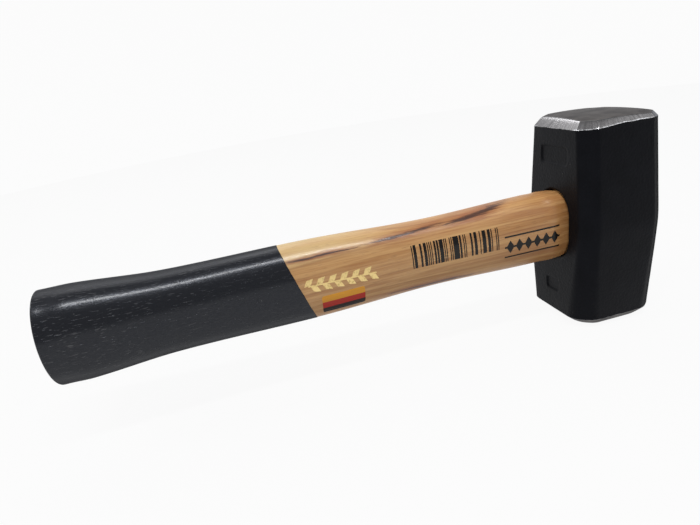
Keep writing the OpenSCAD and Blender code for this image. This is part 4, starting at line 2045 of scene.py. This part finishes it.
@dataclass
class Studio:
    """Floor, backdrop, lamps and camera, in metres but for the two sheets of paper."""

    eye: Spot = (-0.1671, -0.2109, 0.1345)
    azimuth: float = -11.4
    elevation: float = 20.66
    roll: float = -8.65
    photo_width: float = 700.0
    focal_length: float = 510.5
    sensor: float = 36.0
    clip: tuple[float, float] = (0.01, 50.0)
    paper_grey: float = 0.5
    world_grey: float = 0.37
    world_blue: float = 1.02
    floor_glow: float = 0.93
    backdrop_glow: float = 0.955
    floor_reach: float = 3000.0
    floor_drop: float = 0.02
    floor_sides: int = 64
    backdrop_reach: float = 1600.0
    backdrop_sweep: float = 500.0
    backdrop_tall: float = 2200.0
    backdrop_bends: int = 7
    backdrop_span: tuple[float, float] = (25.0, 155.0)
    backdrop_columns: int = 40
    lamps: tuple[Lamp, ...] = (
        Lamp("strip_lamp", (-0.2, -0.38, 1.05), (-0.2, 0.0, 0.05), (0.9, 0.08), 7.7),
        Lamp("soft_lamp", (-0.1, 0.8, 1.1), (0.0, 0.0, 0.05), (1.3, 0.7), 3.3),
        Lamp("side_lamp", (-1.1, 0.15, 0.95), (-0.1, 0.0, 0.05), (0.35, 0.35), 4.5),
        Lamp("edge_lamp", (-0.09, 1.05, 0.97), (0.0, 0.0, 0.1), (0.16, 0.12), 0.75),
        Lamp("bevel_lamp", (0.8, -0.38, 0.92), (0.0, 0.0, 0.1), (0.4, 0.3), 0.42),
        Lamp("fill_lamp", (0.9, -0.75, 0.75), (0.0, 0.0, 0.1), (0.7, 0.7), 1.1),
    )

    def camera(self) -> bpy.types.Object:
        """Camera at the photograph's angle; its focal length is measured in picture widths.

        Returns:
            The camera.
        """
        data = bpy.data.cameras.new("photo_camera")
        data.sensor_width = self.sensor
        data.lens = self.focal_length / self.photo_width * self.sensor
        data.clip_start, data.clip_end = self.clip
        camera = place_object("photo_camera", data)
        a, e, r = (math.radians(v) for v in (self.azimuth, self.elevation, self.roll))
        back = Vector((math.sin(a) * math.cos(e), -math.cos(a) * math.cos(e), math.sin(e)))
        level = Vector((math.cos(a), math.sin(a), 0.0))
        up = back.cross(level)
        right = level * math.cos(r) + up * math.sin(r)
        pose(camera, self.eye, (right, up * math.cos(r) - level * math.sin(r), back))
        bpy.context.scene.camera = camera
        return camera

    def white(self, name: str, glow: float) -> bpy.types.Material:
        """White paper, which also shows its white to the camera and in reflections.

        Args:
            name: Name of the material.
            glow: Share of plain white that the camera and the reflections see.

        Returns:
            The material.
        """
        material = bpy.data.materials.new(name)
        material.use_nodes = True
        s = Shader(material.node_tree)
        material.node_tree.nodes.clear()
        tint = (self.paper_grey, self.paper_grey, self.paper_grey, 1.0)
        paper = s.add("ShaderNodeBsdfDiffuse", {"Color": tint})
        light = s.add("ShaderNodeEmission", {"Color": (1.0, 1.0, 1.0, 1.0), "Strength": 1.0})
        path = s.add("ShaderNodeLightPath").outputs
        seen = s.math("MAXIMUM", path["Is Camera Ray"], path["Is Glossy Ray"])
        share = s.times(s.math("MAXIMUM", seen, path["Is Transmission Ray"]), glow)
        both = s.add("ShaderNodeMixShader", {0: share, 1: paper.outputs[0], 2: light.outputs[0]})
        s.add("ShaderNodeOutputMaterial", {"Surface": both.outputs[0]})
        return material

    def floor(self) -> bpy.types.Object:
        """Wide pale floor under the hammer.

        Returns:
            The floor.
        """
        turns = round_turns(self.floor_sides)
        rim = self.floor_reach * np.column_stack([np.cos(turns), np.sin(turns), 0.0 * turns])
        faces = fan_faces(self.floor_sides, 0, self.floor_sides, flip=False)
        skin = np.concatenate([rim, [[0.0, 0.0, 0.0]]]), faces
        floor = make_piece("floor", skin, -self.floor_drop)
        floor.data.materials.append(self.white("floor_paper", self.floor_glow))
        return floor

    def backdrop(self) -> bpy.types.Object:
        """Curved white sheet that rises behind the hammer.

        Returns:
            The sheet.
        """
        sweep, inner = self.backdrop_sweep, self.backdrop_reach - self.backdrop_sweep
        bends = np.radians(np.linspace(0.0, 90.0, self.backdrop_bends))
        profile = [(inner + sweep * math.sin(a), sweep * (1.0 - math.cos(a))) for a in bends]
        profile.append((self.backdrop_reach, self.backdrop_tall))
        turns = np.radians(np.linspace(*self.backdrop_span, self.backdrop_columns))
        rows = [
            np.column_stack([r * np.cos(turns), r * np.sin(turns), np.full_like(turns, z)])
            for r, z in profile
        ]
        count = len(turns)
        corners = [k * count + c for k in range(len(rows) - 1) for c in range(count - 1)]
        faces = [(a, a + count, a + count + 1, a + 1) for a in corners]
        sheet = make_piece("backdrop", (np.concatenate(rows), faces))
        sheet.data.materials.append(self.white("backdrop_paper", self.backdrop_glow))
        sheet.data.shade_smooth()
        return sheet

    def world(self) -> None:
        """Plain grey light from all round."""
        world = bpy.data.worlds.new("studio")
        world.use_nodes = True
        grey = self.world_grey
        ground = world.node_tree.nodes["Background"]
        ground.inputs["Color"].default_value = (grey, grey, grey * self.world_blue, 1.0)
        ground.inputs["Strength"].default_value = 1.0
        bpy.context.scene.world = world

    def build(self) -> None:
        """Set up the whole studio."""
        self.camera()
        self.floor()
        self.backdrop()
        for lamp in self.lamps:
            lamp.build()
        self.world()
        bpy.context.scene.view_settings.view_transform = "Standard"


def seat(piece: bpy.types.Object, slot: Slot, *nodes: str) -> None:
    """Fix a piece to the hammer.

    Args:
        piece: The finished piece.
        slot: The record's material slot of the piece; it is not used.
        *nodes: CAD nodes that it stands for.
    """
    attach(piece, BODY)
    if nodes:
        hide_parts(*nodes)
    count = len(piece.data.polygons)
    log.info("%s: %d faces, stands for %s", piece.name, count, ", ".join(nodes) or "none")


def main() -> None:
    """Build the hammer's looks and its studio."""
    logging.basicConfig(level=logging.INFO, format="%(message)s")
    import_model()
    Studio().build()
    effects = Effects()
    head = HammerHead()
    rise = head.half
    form = HandleForm(head_half=head.mid_x / 2.0)
    wedges = WedgePair()
    paint = HeadFinish().build(effects, head.paint_z * MM, rise * MM)
    seat(head.build(form, paint), Slot.HEAD, "head")
    wood = Hickory().build(effects, rise * MM)
    seat(WoodHandle(form).build(wedges, rise, wood), Slot.HANDLE, "handle")
    flat, ring = wedges.build(form, rise, EndWood().build(effects), WedgeSteel().build(effects))
    seat(flat, Slot.WEDGE_WOOD, "wooden_wedge")
    seat(ring, Slot.WEDGE_STEEL, "ring_wedge")
    coating = GripCoating(form).build(rise, GripLacquer().build(effects))
    seat(coating, Slot.GRIP, "grip_coating")
    inks = {ink: PrintFinish(ink).build(effects) for ink in Ink}
    tree = MarkRowTree()
    prints = HandlePrints(form, rise)
    seat(prints.bars(tree, inks[Ink.BLACK]), Slot.HANDLE)
    seat(prints.ornament(tree, inks[Ink.GOLD]), Slot.HANDLE)
    seat(prints.stamp(tree, inks[Ink.BLACK]), Slot.HANDLE)
    seat(prints.label(inks[Ink.STRIPES]), Slot.HANDLE)


if __name__ == "__main__":
    main()
